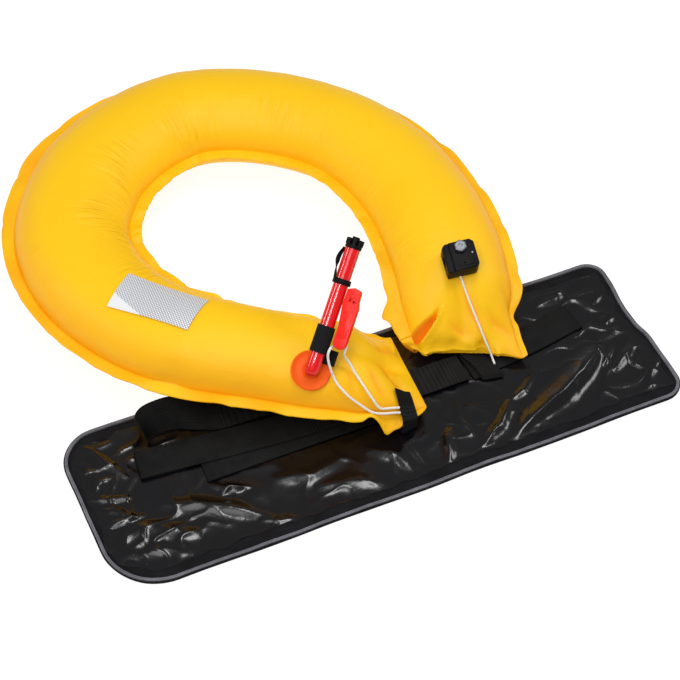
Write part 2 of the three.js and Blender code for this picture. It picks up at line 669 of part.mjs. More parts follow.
function oralTube() {
  // A tube with a round closed foot, open at the top.
  const radius = TUBE_DIAMETER / 2;
  const bore = radius - TUBE_WALL;
  const foot = [0, 30, 60].map((angle) => {
    const a = THREE.MathUtils.degToRad(angle);
    return [radius * Math.sin(a), -radius * Math.cos(a)];
  });
  return lathed([...foot, [radius, 0], [radius, ORAL_LENGTH], [bore, ORAL_LENGTH], [bore, TUBE_WALL], [0, TUBE_WALL]], 18);
}

function tubeCap() {
  // A round skirt over the tube's end with a castellated top.
  const skirt = CAP_SKIRT;
  const radius = CAP_DIAMETER / 2;
  const shape = new THREE.Shape();
  for (let k = 0; k < CAP_LOBES * 4; k++) {
    const angle = (Math.PI * 2 * (k + 0.5)) / (CAP_LOBES * 4);
    const reach = k % 4 < 2 ? radius : radius - CAP_LOBE_DEPTH;
    const point = [reach * Math.cos(angle), reach * Math.sin(angle)];
    if (k === 0) shape.moveTo(...point);
    else shape.lineTo(...point);
  }
  shape.closePath();
  const crown = toManifold(extruded(shape, CAP_HEIGHT - skirt + 0.5, 0, 1).translate(0, 0, skirt - 0.5));
  const base = toManifold(lathed([[0, 0], [radius * 0.94, 0], [radius * 0.94, skirt], [0, skirt]], 24));
  return fromManifold(crown.add(base));
}

function capTether() {
  // A ring round the tube, with a strap along the tube up to the cap.
  const inner = TUBE_DIAMETER / 2 + GAP;
  const outer = inner + TETHER_THICKNESS;
  const ring = toManifold(lathed([[inner, 0], [outer, 0], [outer, TETHER_WIDTH], [inner, TETHER_WIDTH], [inner, 0]], 20));
  const reach = ORAL_LENGTH - TETHER_PLACE - GAP;
  const strap = new THREE.Shape();
  strap.moveTo(-inner - 0.4, 0);
  strap.lineTo(-outer, 0);
  strap.quadraticCurveTo(-outer - 4.5, reach * 0.4, -outer - 2.2, reach * 0.75);
  strap.lineTo(-outer, reach);
  strap.lineTo(-inner - 0.4, reach);
  strap.lineTo(-inner - 0.4, reach * 0.8);
  strap.quadraticCurveTo(-outer - 2.6, reach * 0.4, -inner - 0.4, TETHER_WIDTH * 0.8);
  strap.closePath();
  const flat = toManifold(extruded(strap, TETHER_STRAP, 0, 6).translate(0, 0, -TETHER_STRAP / 2).rotateX(Math.PI / 2));
  return fromManifold(ring.add(flat));
}

function tubeBand() {
  // The elastic sleeve with its flat tail beside it.
  const inner = TUBE_DIAMETER / 2 + GAP;
  const outer = inner + BAND_THICKNESS;
  const sleeve = lathed([[inner, 0], [outer, 0], [outer, BAND_LENGTH], [inner, BAND_LENGTH], [inner, 0]], 20);
  const tail = new THREE.BoxGeometry(BAND_TAIL.width, BAND_THICKNESS, BAND_TAIL.length)
    .translate(outer + BAND_TAIL.aside, outer - BAND_TAIL.inset, BAND_TAIL.along);
  return fromManifold(toManifold(sleeve).add(toManifold(tail)));
}

function whistleBody() {
  // A flat whistle: square slanted mouth at the top, round foot, and a sound window near the top.
  const half = WHISTLE_WIDTH / 2;
  const shape = new THREE.Shape();
  shape.absarc(0, half, half, Math.PI, 2 * Math.PI);
  shape.lineTo(half, WHISTLE_LENGTH - WHISTLE_SLANT);
  shape.lineTo(half * 0.9, WHISTLE_LENGTH - WHISTLE_SLANT * 0.4);
  shape.lineTo(-half * 0.5, WHISTLE_LENGTH);
  shape.lineTo(-half, WHISTLE_LENGTH - WHISTLE_SLANT * 0.6);
  shape.closePath();
  const body = toManifold(extruded(shape, WHISTLE_THICKNESS, 1.2, 6));
  const window = new THREE.BoxGeometry(WINDOW.width, WINDOW.length, 2 * WINDOW.depth)
    .translate(WINDOW.aside, WHISTLE_LENGTH - WINDOW.fromMouth, WHISTLE_THICKNESS);
  return fromManifold(body.subtract(toManifold(window)));
}

// Inflator pieces, in the seat's frame: X across, Y up the arm, Z up.

function inflatorBody() {
  const half = INFLATOR_LENGTH / 2;
  const deep = INFLATOR_DEPTH / 2;
  const cut = INFLATOR_CORNER;
  const shape = new THREE.Shape();
  shape.moveTo(-half, -deep + cut / 4);
  shape.lineTo(-half + cut / 4, -deep);
  shape.lineTo(half - cut, -deep);
  shape.lineTo(half, -deep + cut);
  shape.lineTo(half, deep - cut);
  shape.lineTo(half - cut, deep);
  shape.lineTo(-half + cut, deep);
  shape.lineTo(-half, deep - cut);
  shape.closePath();
  const block = toManifold(extruded(shape, INFLATOR_HEIGHT, 1, 1));
  const socket = new THREE.CylinderGeometry(SOCKET_DIAMETER / 2, SOCKET_DIAMETER / 2, SOCKET_DEPTH * 2, 20)
    .rotateZ(Math.PI / 2)
    .translate(-half, 0, INFLATOR_HEIGHT / 2);
  return fromManifold(block.subtract(toManifold(socket)));
}

function hexagon(width, height) {
  return new THREE.CylinderGeometry(width / Math.sqrt(3), width / Math.sqrt(3), height, 6)
    .rotateX(Math.PI / 2)
    .translate(0, 0, height / 2);
}

// Assembly.

const pack = new THREE.Group();
pack.name = 'belt_pack';

function add(parent, name, geometry, material) {
  const mesh = new THREE.Mesh(geometry, material);
  mesh.name = name;
  parent.add(mesh);
  return mesh;
}

function addPouch() {
  const pouch = new THREE.Group();
  pouch.position.x = POUCH_SHIFT;
  add(pouch, 'pouch_cover', pouchCover(), finish(COLOURS.cloth, 0.8));
  add(pouch, 'pouch_piping', pouchPiping(), finish(COLOURS.piping, 0.45));
  add(pouch, 'pouch_border', pouchBorder(), finish(COLOURS.cloth, 0.9));
  add(pouch, 'pouch_liner', pouchLiner(), finish(COLOURS.gloss, 0.25));
  pack.add(pouch);
}

function addBelt() {
  add(pack, 'belt_front', beltFront(), finish(COLOURS.webbing, 0.8));
  add(pack, 'belt_tail', beltTail(), finish(COLOURS.webbing, 0.8));
  add(pack, 'belt_back', beltBack(), finish(COLOURS.webbing, 0.8));
  add(pack, 'belt_right', beltRight(), finish(COLOURS.webbing, 0.8));
}

function addBladder() {
  add(pack, 'bladder_upper', wall(panelFace(1, 0), panelFace(1, SKIN)), finish(COLOURS.yellow, 0.5));
  add(pack, 'bladder_lower', wall(panelFace(-1, 0), panelFace(-1, SKIN)), finish(COLOURS.yellow, 0.5));
  add(pack, 'reflective_patch', reflectivePatch(), finish(COLOURS.patch, 0.4));
}

function addOralTube() {
  const discFrame = frameAt(disc.point, disc.alongRun, disc.normal);
  add(discFrame, 'valve_disc', valveDisc(), finish(COLOURS.disc, 0.35));
  const tubeFrame = frameAt(tubeFoot, tubeSide, tubeRun);
  add(tubeFrame, 'oral_tube', oralTube(), finish(COLOURS.red, 0.2));
  add(tubeFrame, 'tube_cap', tubeCap(), finish(COLOURS.black, 0.4)).position.z = ORAL_LENGTH + GAP;
  add(tubeFrame, 'cap_tether', capTether(), finish(COLOURS.black, 0.4)).position.z = TETHER_PLACE;
  add(tubeFrame, 'tube_band', tubeBand(), finish(COLOURS.webbing, 0.9)).position.z = BAND_PLACE;
  pack.add(discFrame, tubeFrame);
  const beside = tubeFoot.clone()
    .addScaledVector(tubeSide, TUBE_DIAMETER / 2 + BAND_THICKNESS + 2 * GAP + WHISTLE_SPACE + WHISTLE_WIDTH / 2)
    .addScaledVector(tubeRun, WHISTLE_PLACE);
  const whistleFrame = frameAt(beside, tubeSide, new THREE.Vector3().crossVectors(tubeSide, tubeRun));
  const whistle = add(whistleFrame, 'whistle', whistleBody(), finish(COLOURS.whistle, 0.3));
  whistle.position.z = -WHISTLE_THICKNESS / 2;
  pack.add(whistleFrame);
}

function addInflator() {
  const seat = onBladder(INFLATOR_SEAT.row, INFLATOR_SEAT.across, GAP);
  const turn = THREE.MathUtils.degToRad(INFLATOR_SEAT.turn);
  const across = new THREE.Vector3(Math.cos(turn), Math.sin(turn), 0);
  across.addScaledVector(seat.normal, -across.dot(seat.normal)).normalize();
  const frame = frameAt(seat.point, across, seat.normal);
  add(frame, 'inflator_body', inflatorBody(), finish(COLOURS.black, 0.45));
  const nut = add(frame, 'inflator_nut', hexagon(NUT_WIDTH, NUT_HEIGHT), finish(COLOURS.steel, 0.3, 1));
  nut.position.set(NUT_ASIDE, INFLATOR_DEPTH / 2 - NUT_FROM_BACK, INFLATOR_HEIGHT + GAP);
  const pin = new THREE.CylinderGeometry(PIN_DIAMETER / 2, PIN_DIAMETER / 2, PIN_HEIGHT, 12).rotateX(Math.PI / 2);
  const head = add(frame, 'inflator_pin', pin, finish(COLOURS.steel, 0.3, 1));
  head.position.set(INFLATOR_LENGTH / 2 - PIN_FROM_SIDE, 0, INFLATOR_HEIGHT + GAP + PIN_HEIGHT / 2);
  pack.add(frame);
}

function addLoopsAndCords() {
  add(pack, 'arm_loop_left', armLoopLeft(), finish(COLOURS.webbing, 0.8));
  add(pack, 'arm_loop_right', armLoopRight(), finish(COLOURS.webbing, 0.8));
  add(pack, 'whistle_cord', cordTube(WHISTLE_CORD_ROUTE, CORD_DIAMETER, 64), finish(COLOURS.cord, 0.7));
  add(pack, 'pull_cord', cordTube(PULL_CORD_ROUTE, PULL_DIAMETER, 22), finish(COLOURS.cord, 0.7));
}

addPouch();
addBelt();
addBladder();
addOralTube();
addInflator();
addLoopsAndCords();

// The origin goes to the middle of the base.
pack.updateMatrixWorld(true);
const box = new THREE.Box3().setFromObject(pack, true);
pack.position.set(-(box.min.x + box.max.x) / 2, -(box.min.y + box.max.y) / 2, 0);

const part = new THREE.Group();
part.add(pack);

export default part;
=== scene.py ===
import logging
import math
from dataclasses import dataclass
from enum import Enum
from typing import Callable, Iterable, Sequence

import bmesh
import bpy
from mathutils import Matrix, Vector, noise
from mathutils.bvhtree import BVHTree


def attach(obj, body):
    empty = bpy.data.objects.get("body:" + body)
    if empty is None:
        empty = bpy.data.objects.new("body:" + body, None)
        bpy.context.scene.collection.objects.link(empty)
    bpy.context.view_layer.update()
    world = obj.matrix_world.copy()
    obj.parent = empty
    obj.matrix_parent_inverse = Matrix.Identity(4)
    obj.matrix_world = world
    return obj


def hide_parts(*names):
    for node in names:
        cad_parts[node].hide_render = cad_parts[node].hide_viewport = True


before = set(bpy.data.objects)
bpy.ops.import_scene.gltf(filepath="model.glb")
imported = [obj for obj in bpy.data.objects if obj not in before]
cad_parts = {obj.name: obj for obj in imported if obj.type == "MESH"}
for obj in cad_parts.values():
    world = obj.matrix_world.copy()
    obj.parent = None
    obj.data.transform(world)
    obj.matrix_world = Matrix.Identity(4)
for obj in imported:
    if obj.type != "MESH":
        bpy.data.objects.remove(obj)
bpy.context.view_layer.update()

Build = bmesh.types.BMesh
Material = bpy.types.Material
Piece = bpy.types.Object
Socket = bpy.types.NodeSocket
Tree = bpy.types.NodeTree
LOG = logging.getLogger("belt_pack")

# The pieces are set out in millimetres in the pouch's own plan; one matrix takes them to the row frame,
# which is in metres.
PACK_SHIFT = Vector((-4.00, -225.15, 0.0))
TO_ROW = Matrix.Scale(0.001, 4) @ Matrix.Translation(PACK_SHIFT)
GAP = 0.3
UP = Vector((0.0, 0.0, 1.0))

# Pouch and belt sizes.
POUCH_LENGTH = 676.0
POUCH_DEPTH = 222.0
POUCH_SHIFT = 4.0
COVER_THICKNESS = 2.0
LINER_THICKNESS = 1.2
WEBBING_WIDTH = 38.0
WEBBING_THICKNESS = 1.6
# Heights of the layers that lie on the back cloth, from it upwards.
LAYER_BASE = COVER_THICKNESS + GAP
LINER_TOP = LAYER_BASE + LINER_THICKNESS
WEBBING_STEP = WEBBING_THICKNESS + GAP
LOWER_LAYER = LINER_TOP + GAP
UPPER_LAYER = LOWER_LAYER + WEBBING_STEP
STACK = LOWER_LAYER + 2 * WEBBING_STEP + GAP


class Slot(Enum):
    """The material slots."""

    POUCH_CLOTH = "pouch_cloth"
    PIPING = "reflective_piping"
    LINING = "coated_lining"
    WEBBING = "belt_webbing"
    BLADDER = "bladder_cloth"
    FILM = "reflective_film"
    DISC = "disc_plastic"
    TUBE = "tube_plastic"
    BLACK_PLASTIC = "black_plastic"
    RUBBER = "black_rubber"
    BAND = "elastic_band"
    WHISTLE = "whistle_plastic"
    CORD = "white_cord"
    STEEL = "bright_steel"


# Numbers and colours.


def smooth(low: float, high: float, value: float) -> float:
    """A smooth step from 0 at low to 1 at high."""
    t = min(max((value - low) / (high - low), 0.0), 1.0)
    return t * t * (3 - 2 * t)


def blend(values: Sequence[float], place: float) -> float:
    """The value between a column's rows, on a smooth curve through them.

    Args:
        values: the column, one value a row.
        place: the place between the rows, from 0.

    Returns:
        The value at that place.
    """
    last = len(values) - 1
    i = min(max(int(math.floor(place)), 0), last - 1)
    t = place - i
    a, b, c, d = (values[min(max(k, 0), last)] for k in (i - 1, i, i + 1, i + 2))
    return b + 0.5 * t * (c - a + t * (2 * a - 5 * b + 4 * c - d + t * (3 * (b - c) + d - a)))


def linear(colour: str) -> tuple[float, float, float, float]:
    """An sRGB hex colour as linear red, green, blue and alpha."""
    parts = [int(colour[i : i + 2], 16) / 255 for i in (1, 3, 5)]
    r, g, b = (p / 12.92 if p <= 0.04045 else ((p + 0.055) / 1.055) ** 2.4 for p in parts)
    return (r, g, b, 1.0)


# Node and mesh helpers.


def add_node(tree: Tree, kind: str, inputs: dict | None = None, **settings: object) -> bpy.types.Node:
    """Adds a node with its settings, and sets or links its inputs.

    Args:
        tree: the node tree.
        kind: the node's type name.
        inputs: a value or a socket to link for each input's name or number.
        settings: the node's own settings.

    Returns:
        The node.
    """
    node = tree.nodes.new(kind)
    for key, value in settings.items():
        setattr(node, key, value)
    for key, value in (inputs or {}).items():
        if isinstance(value, Socket):
            tree.links.new(value, node.inputs[key])
        else:
            node.inputs[key].default_value = value
    return node


def output_of(
    tree: Tree, kind: str, inputs: dict | None = None, output: str | int = 0, **settings: object
) -> Socket:
    """Adds a shader node as add_node does, its kind named without its prefix, and returns one output."""
    return add_node(tree, "ShaderNode" + kind, inputs, **settings).outputs[output]


def ramp(tree: Tree, fac: Socket, stops: Sequence[tuple[float, str]]) -> Socket:
    """A colour ramp's colour for the factor, through the stops of place and hex colour."""
    node = add_node(tree, "ShaderNodeValToRGB", {"Fac": fac})
    elements = node.color_ramp.elements
    while len(elements) < len(stops):
        elements.new(0.5)
    for element, (place, colour) in zip(elements, stops):
        element.position = place
        element.color = linear(colour)
    return node.outputs["Color"]


def lay_grid(
    bm: Build,
    columns: int,
    lines: int,
    place: Callable[[float, float], Vector],
    size: tuple[float, float] = (1.0, 1.0),
    close_columns: bool = False,
    close_lines: bool = False,
) -> list[bmesh.types.BMVert]:
    """Adds a grid of faces, its UV map in metres, and moves each point to its place.

    Args:
        bm: the mesh.
        columns: faces along u.
        lines: faces along v.
        place: the point in millimetres for u and v from 0 to 1.
        size: the real length along u and v, in millimetres.
        close_columns: whether the last column meets the first.
        close_lines: whether the last line meets the first.

    Returns:
        The grid's points.
    """
    layer = bm.loops.layers.uv.verify()
    made = bmesh.ops.create_grid(bm, x_segments=columns, y_segments=lines, size=0.5, calc_uvs=True)
    verts = made["verts"]
    faces = {face for vert in verts for face in vert.link_faces}
    for face in faces:
        for loop in face.loops:
            uv = loop[layer].uv
            uv.x = (loop.vert.co.x + 0.5) * size[0] / 1000
            uv.y = (loop.vert.co.y + 0.5) * size[1] / 1000
    for vert in verts:
        vert.co = place(vert.co.x + 0.5, vert.co.y + 0.5)
    if close_columns or close_lines:
        bmesh.ops.remove_doubles(bm, verts=verts, dist=1e-4)
        verts = [vert for vert in verts if vert.is_valid]
    return verts


def close_ends(bm: Build) -> None:
    """Fills the mesh's open rims."""
    bmesh.ops.holes_fill(bm, edges=[edge for edge in bm.edges if edge.is_boundary], sides=0)


def round_edges(bm: Build, edges: Iterable[bmesh.types.BMEdge], width: float, segments: int) -> None:
    """Bevels edges to a round, in the mesh's own order so that each run gives the same result."""
    bm.edges.index_update()
    lines = sorted(edges, key=lambda edge: edge.index)
    bmesh.ops.bevel(
        bm, geom=lines, offset=width, segments=segments, profile=0.5, material=-1, affect="EDGES"
    )


def prism(
    bm: Build, outline: Iterable[Sequence[float]], low: float, high: float
) -> list[bmesh.types.BMVert]:
    """Adds an upright body over an outline of the plan, and returns its top's points."""
    face = bm.faces.new([bm.verts.new((point[0], point[1], low)) for point in outline])
    raised = bmesh.ops.extrude_face_region(bm, geom=[face])
    top = [item for item in raised["geom"] if isinstance(item, bmesh.types.BMVert)]
    bmesh.ops.translate(bm, verts=top, vec=UP * (high - low))
    return top


def add_box(bm: Build, size: Sequence[float], middle: Sequence[float], rounded: float = 0.0) -> None:
    """Adds a box, its edges rounded if asked."""
    verts = bmesh.ops.create_cube(bm, size=1.0)["verts"]
    bmesh.ops.scale(bm, verts=verts, vec=size)
    bmesh.ops.translate(bm, verts=verts, vec=middle)
    if rounded:
        round_edges(bm, {edge for vert in verts for edge in vert.link_edges}, rounded, 2)


def add_cone(
    bm: Build, sides: int, radii: tuple[float, float], height: float, middle: Sequence[float]
) -> None:
    """Adds a closed upright cone or cylinder of the lower and upper radius."""
    made = bmesh.ops.create_cone(
        bm, cap_ends=True, segments=sides, radius1=radii[0], radius2=radii[1], depth=height
    )
    bmesh.ops.translate(bm, verts=made["verts"], vec=middle)


def frame_at(point: Vector, x: Vector, y: Vector, z: Vector) -> Matrix:
    """The frame at a point with the given axes."""
    return Matrix.Translation(point) @ Matrix([x, y, z]).transposed().to_4x4()


def new_object(name: str, source: Build | bpy.types.ID) -> Piece:
    """Links a new object of a mesh being built, or of a camera's or light's data."""
    data = source
    if isinstance(source, Build):
        data = bpy.data.meshes.new(name)
        source.to_mesh(data)
    obj = bpy.data.objects.new(name, data)
    bpy.context.scene.collection.objects.link(obj)
    return obj


def finish_piece(
    name: str,
    bm: Build,
    material: Material,
    slot: Slot,
    nodes: Iterable[str] = (),
    sharp: float = 40.0,
    frame_of: Matrix | None = None,
) -> Piece:
    """Turns the mesh into a piece of the pack in the row frame.

    Args:
        name: the piece's name.
        bm: its mesh in millimetres, freed here.
        material: its material.
        slot: the material slot; not used.
        nodes: the solids that it stands for.
        sharp: the angle in degrees over which an edge shows sharp.
        frame_of: the place of the mesh on the pack, where it was built in a frame of its own.

    Returns:
        The piece.
    """
    if frame_of is not None:
        bmesh.ops.transform(bm, matrix=frame_of, verts=bm.verts)
    bmesh.ops.transform(bm, matrix=TO_ROW, verts=bm.verts)
    bmesh.ops.recalc_face_normals(bm, faces=bm.faces)
    obj = new_object(name, bm)
    bm.free()
    mesh = obj.data
    mesh.polygons.foreach_set("use_smooth", [True] * len(mesh.polygons))
    mesh.set_sharp_from_angle(angle=math.radians(sharp))
    mesh.materials.append(material)
    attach(obj, "root")
    if nodes:
        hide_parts(*nodes)
    LOG.info("%s: %d faces", name, len(mesh.polygons))
    return obj


def cut_out(bm: Build, cutter: Build) -> None:
    """Cuts one closed body out of another.

    Args:
        bm: the mesh that is cut, changed in place.
        cutter: the body that is taken away, freed here.
    """
    holders = []
    for source in (bm, cutter):
        bmesh.ops.recalc_face_normals(source, faces=source.faces)
        holders.append(new_object("cut", source))
    cutter.free()
    body, tool = holders
    modifier = body.modifiers.new("cut", "BOOLEAN")
    modifier.operation = "DIFFERENCE"
    modifier.solver = "EXACT"
    modifier.use_self = True
    modifier.object = tool
    done = body.evaluated_get(bpy.context.evaluated_depsgraph_get()).to_mesh()
    bm.clear()
    bm.from_mesh(done)
    for holder in holders:
        mesh = holder.data
        bpy.data.objects.remove(holder)
        bpy.data.meshes.remove(mesh)


def running_lengths(points: Sequence[Vector]) -> list[float]:
    """The length of the line through the points, up to each of them."""
    lengths = [0.0]
    for a, b in zip(points, points[1:]):
        lengths.append(lengths[-1] + (b - a).length)
    return lengths


def even_points(points: Sequence[Vector], count: int) -> list[Vector]:
    """The ends of a count of equal steps along the line through the points."""
    lengths = running_lengths(points)
    found = []
    i = 0
    for k in range(count + 1):
        target = lengths[-1] * k / count
        while i < len(points) - 2 and lengths[i + 1] < target:
            i += 1
        share = (target - lengths[i]) / max(lengths[i + 1] - lengths[i], 1e-9)
        found.append(points[i].lerp(points[i + 1], min(max(share, 0.0), 1.0)))
    return found


def beside(line: Sequence[tuple[float, float]], x: float, y: float) -> tuple[float, float]:
    """The distance to the right of a line of the plan, and the share of the line passed."""
    best = (1e9, 0.0, 0.0)
    parts = len(line) - 1
    for k, (a, b) in enumerate(zip(line, line[1:])):
        dx, dy = b[0] - a[0], b[1] - a[1]
        t = ((x - a[0]) * dx + (y - a[1]) * dy) / math.hypot(dx, dy) ** 2
        t = min(max(t, 0.0), 1.0)
        px, py = x - a[0] - t * dx, y - a[1] - t * dy
        away = math.hypot(px, py)
        if away < best[0]:
            best = (away, math.copysign(away, px * dy - py * dx), (k + t) / parts)
    return best[1], best[2]


def strap_grid(
    bm: Build,
    centres: Sequence[Vector],
    acrosses: Sequence[Vector],
    width: float,
    thickness: float,
) -> None:
    """Adds a flat strap with soft edges along the centres, closed at both ends.

    Args:
        bm: the mesh.
        centres: the strap's middle line.
        acrosses: the direction of its width at each centre.
        width: its width.
        thickness: its thickness.
    """
    half, thin = width / 2, thickness / 2
    flat, edge = half - thin, thin * 0.55
    outline = [(-flat, thin), (-half * 0.5, thin), (0.0, thin), (half * 0.5, thin), (flat, thin)]
    outline += [(half, edge), (half, -edge), (flat, -thin), (0.0, -thin), (-flat, -thin)]
    outline += [(-half, -edge), (-half, edge)]
    count = len(centres) - 1
    sides = len(outline)
    length = running_lengths(centres)[-1]

    def place(u: float, v: float) -> Vector:
        i = round(u * count)
        run = centres[min(i + 1, count)] - centres[max(i - 1, 0)]
        across = acrosses[i]
        face = across.cross(run.normalized()).normalized()
        side, rise = outline[round(v * sides) % sides]
        return centres[i] + across * side + face * rise

    lay_grid(bm, count, sides, place, (length, 2 * width), close_lines=True)
    close_ends(bm)


def tube_grid(bm: Build, points: Sequence[Vector], radius: float, sides: int) -> None:
    """Adds a round tube along the points, closed at both ends.

    Args:
        bm: the mesh.
        points: the middle line.
        radius: the tube's radius.
        sides: faces round it.
    """
    count = len(points) - 1
    frames = []
    normal = UP.copy()
    for i, point in enumerate(points):
        run = (points[min(i + 1, count)] - points[max(i - 1, 0)]).normalized()
        normal = (normal - run * normal.dot(run)).normalized()
        frames.append((point, normal.copy(), run.cross(normal)))

    def place(u: float, v: float) -> Vector:
        point, first, second = frames[round(u * count)]
        angle = 2 * math.pi * v
        return point + (first * math.cos(angle) + second * math.sin(angle)) * radius

    size = (running_lengths(points)[-1], 2 * math.pi * radius)
    lay_grid(bm, count, sides, place, size, close_lines=True)
    close_ends(bm)


def smooth_line(points: Sequence[Sequence[float]], step: float) -> list[Vector]:
    """Points a step apart on the smooth curve through the given ones."""
    parts = 20
    columns = list(zip(*points))
    fine = [
        Vector([blend(column, k / parts) for column in columns])
        for k in range(parts * (len(points) - 1) + 1)
    ]
    return even_points(fine, max(round(running_lengths(fine)[-1] / step), 2))


# Finishes.


def new_material(
    name: str, colour: str | None = None, **sockets: float
) -> tuple[Material, Tree, bpy.types.Node]:
    """A material with its shader.

    Args:
        name: the real material's name.
        colour: its colour, where it is the same all over.
        sockets: values for the shader's sockets, with underscores for the spaces of their names.

    Returns:
        The material, its node tree and its shader.
    """
    material = bpy.data.materials.new(name)
    material.use_nodes = True
    tree = material.node_tree
    tree.nodes.clear()
    inputs = {key.replace("_", " "): value for key, value in sockets.items()}
    if colour is not None:
        inputs["Base Color"] = linear(colour)
    shader = add_node(tree, "ShaderNodeBsdfPrincipled", inputs)
    add_node(tree, "ShaderNodeOutputMaterial", {"Surface": shader.outputs["BSDF"]})
    return material, tree, shader


def relief(tree: Tree, shader: bpy.types.Node, layers: Sequence[tuple[Socket, float]]) -> None:
    """Chains bumps, each a height from 0 to 1 and its depth in millimetres, into the shader's normal."""
    inputs = {"Strength": 1.0}
    for height, depth in layers:
        inputs |= {"Height": height, "Distance": depth / 1000}
        inputs["Normal"] = output_of(tree, "Bump", inputs)
    tree.links.new(inputs["Normal"], shader.inputs["Normal"])


def bands(tree: Tree, place: Socket, period: float, direction: str, stray: float) -> Socket:
    """Even bands across a direction.

    Args:
        tree: the node tree.
        place: the coordinates, in metres.
        period: the distance from band to band, in millimetres.
        direction: X or Y.
        stray: how unevenly they run.

    Returns:
        The bands, from 0 to 1.
    """
    # The node's wave repeats 20 / (2 pi) times a unit at scale 1.
    inputs = {"Vector": place, "Scale": 2 * math.pi / 20 * 1000 / period, "Distortion": stray}
    return output_of(tree, "TexWave", inputs, "Fac", wave_type="BANDS", bands_direction=direction)


def object_noise(tree: Tree, scale: float, detail: float = 2.0) -> Socket:
    """Noise on Object coordinates, in cycles a metre."""
    inputs = {"Vector": output_of(tree, "TexCoord", output="Object"), "Scale": scale, "Detail": detail}
    return output_of(tree, "TexNoise", inputs)


def crossed(tree: Tree, place: Socket, period: float, turns: Sequence[tuple[float, str]]) -> Socket:
    """The product of bands that cross: for each, the angle its coordinates are turned by and its axis."""
    waves = []
    for angle, direction in turns:
        turn = {"Vector": place, "Rotation": (0.0, 0.0, math.radians(angle))}
        waves.append(bands(tree, output_of(tree, "Mapping", turn), period, direction, 0.0))
    return output_of(tree, "Math", dict(enumerate(waves)), operation="MULTIPLY")


@dataclass(frozen=True)
class CoatedCloth:
    """Nylon cloth with a satin coating, welded: an even colour, with painted shade that deepens it to orange
    in its creases, seams, pleats and flanges and down its outer side.
    """

    name: str = "coated_nylon"
    light: str = "#FFC80E"
    # The deep and fold colours stand for painted shade, laid in creases, seams, pleats and flanges and down
    # the outer side.
    deep: str = "#FB9E06"
    fold: str = "#E8600A"

    def material(self) -> Material:
        """The finish as a material."""
        material, tree, shader = new_material(self.name, Roughness=0.5, Specular_IOR_Level=0.3)
        # The painted shade that the cloth's build lays in, with a little random tone on it.
        depth = output_of(tree, "Attribute", output="Fac", attribute_name="crease")
        cloud = {0: object_noise(tree, 9.0, 3.0), 1: 0.12, 2: -0.06}
        cloud = output_of(tree, "Math", cloud, operation="MULTIPLY_ADD")
        total = output_of(tree, "Math", {0: depth, 1: cloud}, operation="ADD")
        stops = [(0.0, self.light), (0.5, self.deep), (1.0, self.fold)]
        tree.links.new(ramp(tree, total, stops), shader.inputs["Base Color"])
        # Short puckers across the run of the tube, where the cloth is gathered.
        place = output_of(tree, "TexCoord", output="UV")
        drawn = output_of(tree, "Mapping", {"Vector": place, "Scale": (210.0, 16.0, 1.0)})
        streaks = output_of(tree, "TexNoise", {"Vector": drawn, "Scale": 1.0, "Detail": 2.0})
        gather = output_of(tree, "Attribute", output="Fac", attribute_name="gather")
        pucker = output_of(tree, "Math", {0: streaks, 1: gather}, operation="MULTIPLY")
        fine = object_noise(tree, 1100.0, 1.0)
        soft = object_noise(tree, 40.0, 3.0)
        relief(tree, shader, [(soft, 1.2), (pucker, 3.0), (fine, 0.08)])
        return material


@dataclass(frozen=True)
class GlossLining:
    """Black cloth with a wet-looking film: deep black, sharp reflections broken by wrinkles."""

    name: str = "film_coated_lining"
    colour: str = "#08070B"

    def material(self) -> Material:
        """The finish as a material."""
        material, tree, shader = new_material(
            self.name, self.colour, Roughness=0.21, Specular_IOR_Level=0.6
        )
        relief(tree, shader, [(object_noise(tree, 24.0), 1.6), (object_noise(tree, 260.0), 0.12)])
        return material


@dataclass(frozen=True)
class WovenCloth:
    """Plain-woven polyester: matte, with a thread every millimetre."""

    name: str
    colour: str
    pale: str
    thread: float = 0.9
    roughness: float = 0.85
    shine: float = 0.15

    def material(self) -> Material:
        """The finish as a material."""
        material, tree, shader = new_material(
            self.name, Roughness=self.roughness, Specular_IOR_Level=self.shine
        )
        place = output_of(tree, "TexCoord", output="Object")
        threads = [bands(tree, place, self.thread, direction, 0.4) for direction in ("X", "Y")]
        weave = output_of(tree, "Math", dict(enumerate(threads)), operation="MULTIPLY")
        cloud = object_noise(tree, 60.0, 3.0)
        mixed = output_of(tree, "Math", {0: weave, 1: 0.5, 2: cloud}, operation="MULTIPLY_ADD")
        tree.links.new(ramp(tree, mixed, [(0.3, self.colour), (1.0, self.pale)]), shader.inputs["Base Color"])
        relief(tree, shader, [(weave, 0.18), (cloud, 0.5)])
        return material


@dataclass(frozen=True)
class RibbedWebbing:
    """Heavy woven polyester strap: matte, its weft showing as close ribs across the width."""

    name: str = "ribbed_webbing"
    colour: str = "#1F1F1F"
    gap: str = "#0E0E0F"
    rib: float = 2.4
    end: float = 1.6

    def material(self) -> Material:
        """The finish as a material."""
        material, tree, shader = new_material(self.name, Roughness=0.75, Specular_IOR_Level=0.12)
        place = output_of(tree, "TexCoord", output="UV")
        ribs = bands(tree, place, self.rib, "X", 0.3)
        ends = bands(tree, place, self.end, "Y", 0.3)
        shade = {0: ribs, 1: 0.5, 2: object_noise(tree, 70.0, 3.0)}
        shade = output_of(tree, "Math", shade, operation="MULTIPLY_ADD")
        tree.links.new(ramp(tree, shade, [(0.25, self.gap), (1.0, self.colour)]), shader.inputs["Base Color"])
        relief(tree, shader, [(ribs, 0.45), (ends, 0.12)])
        return material


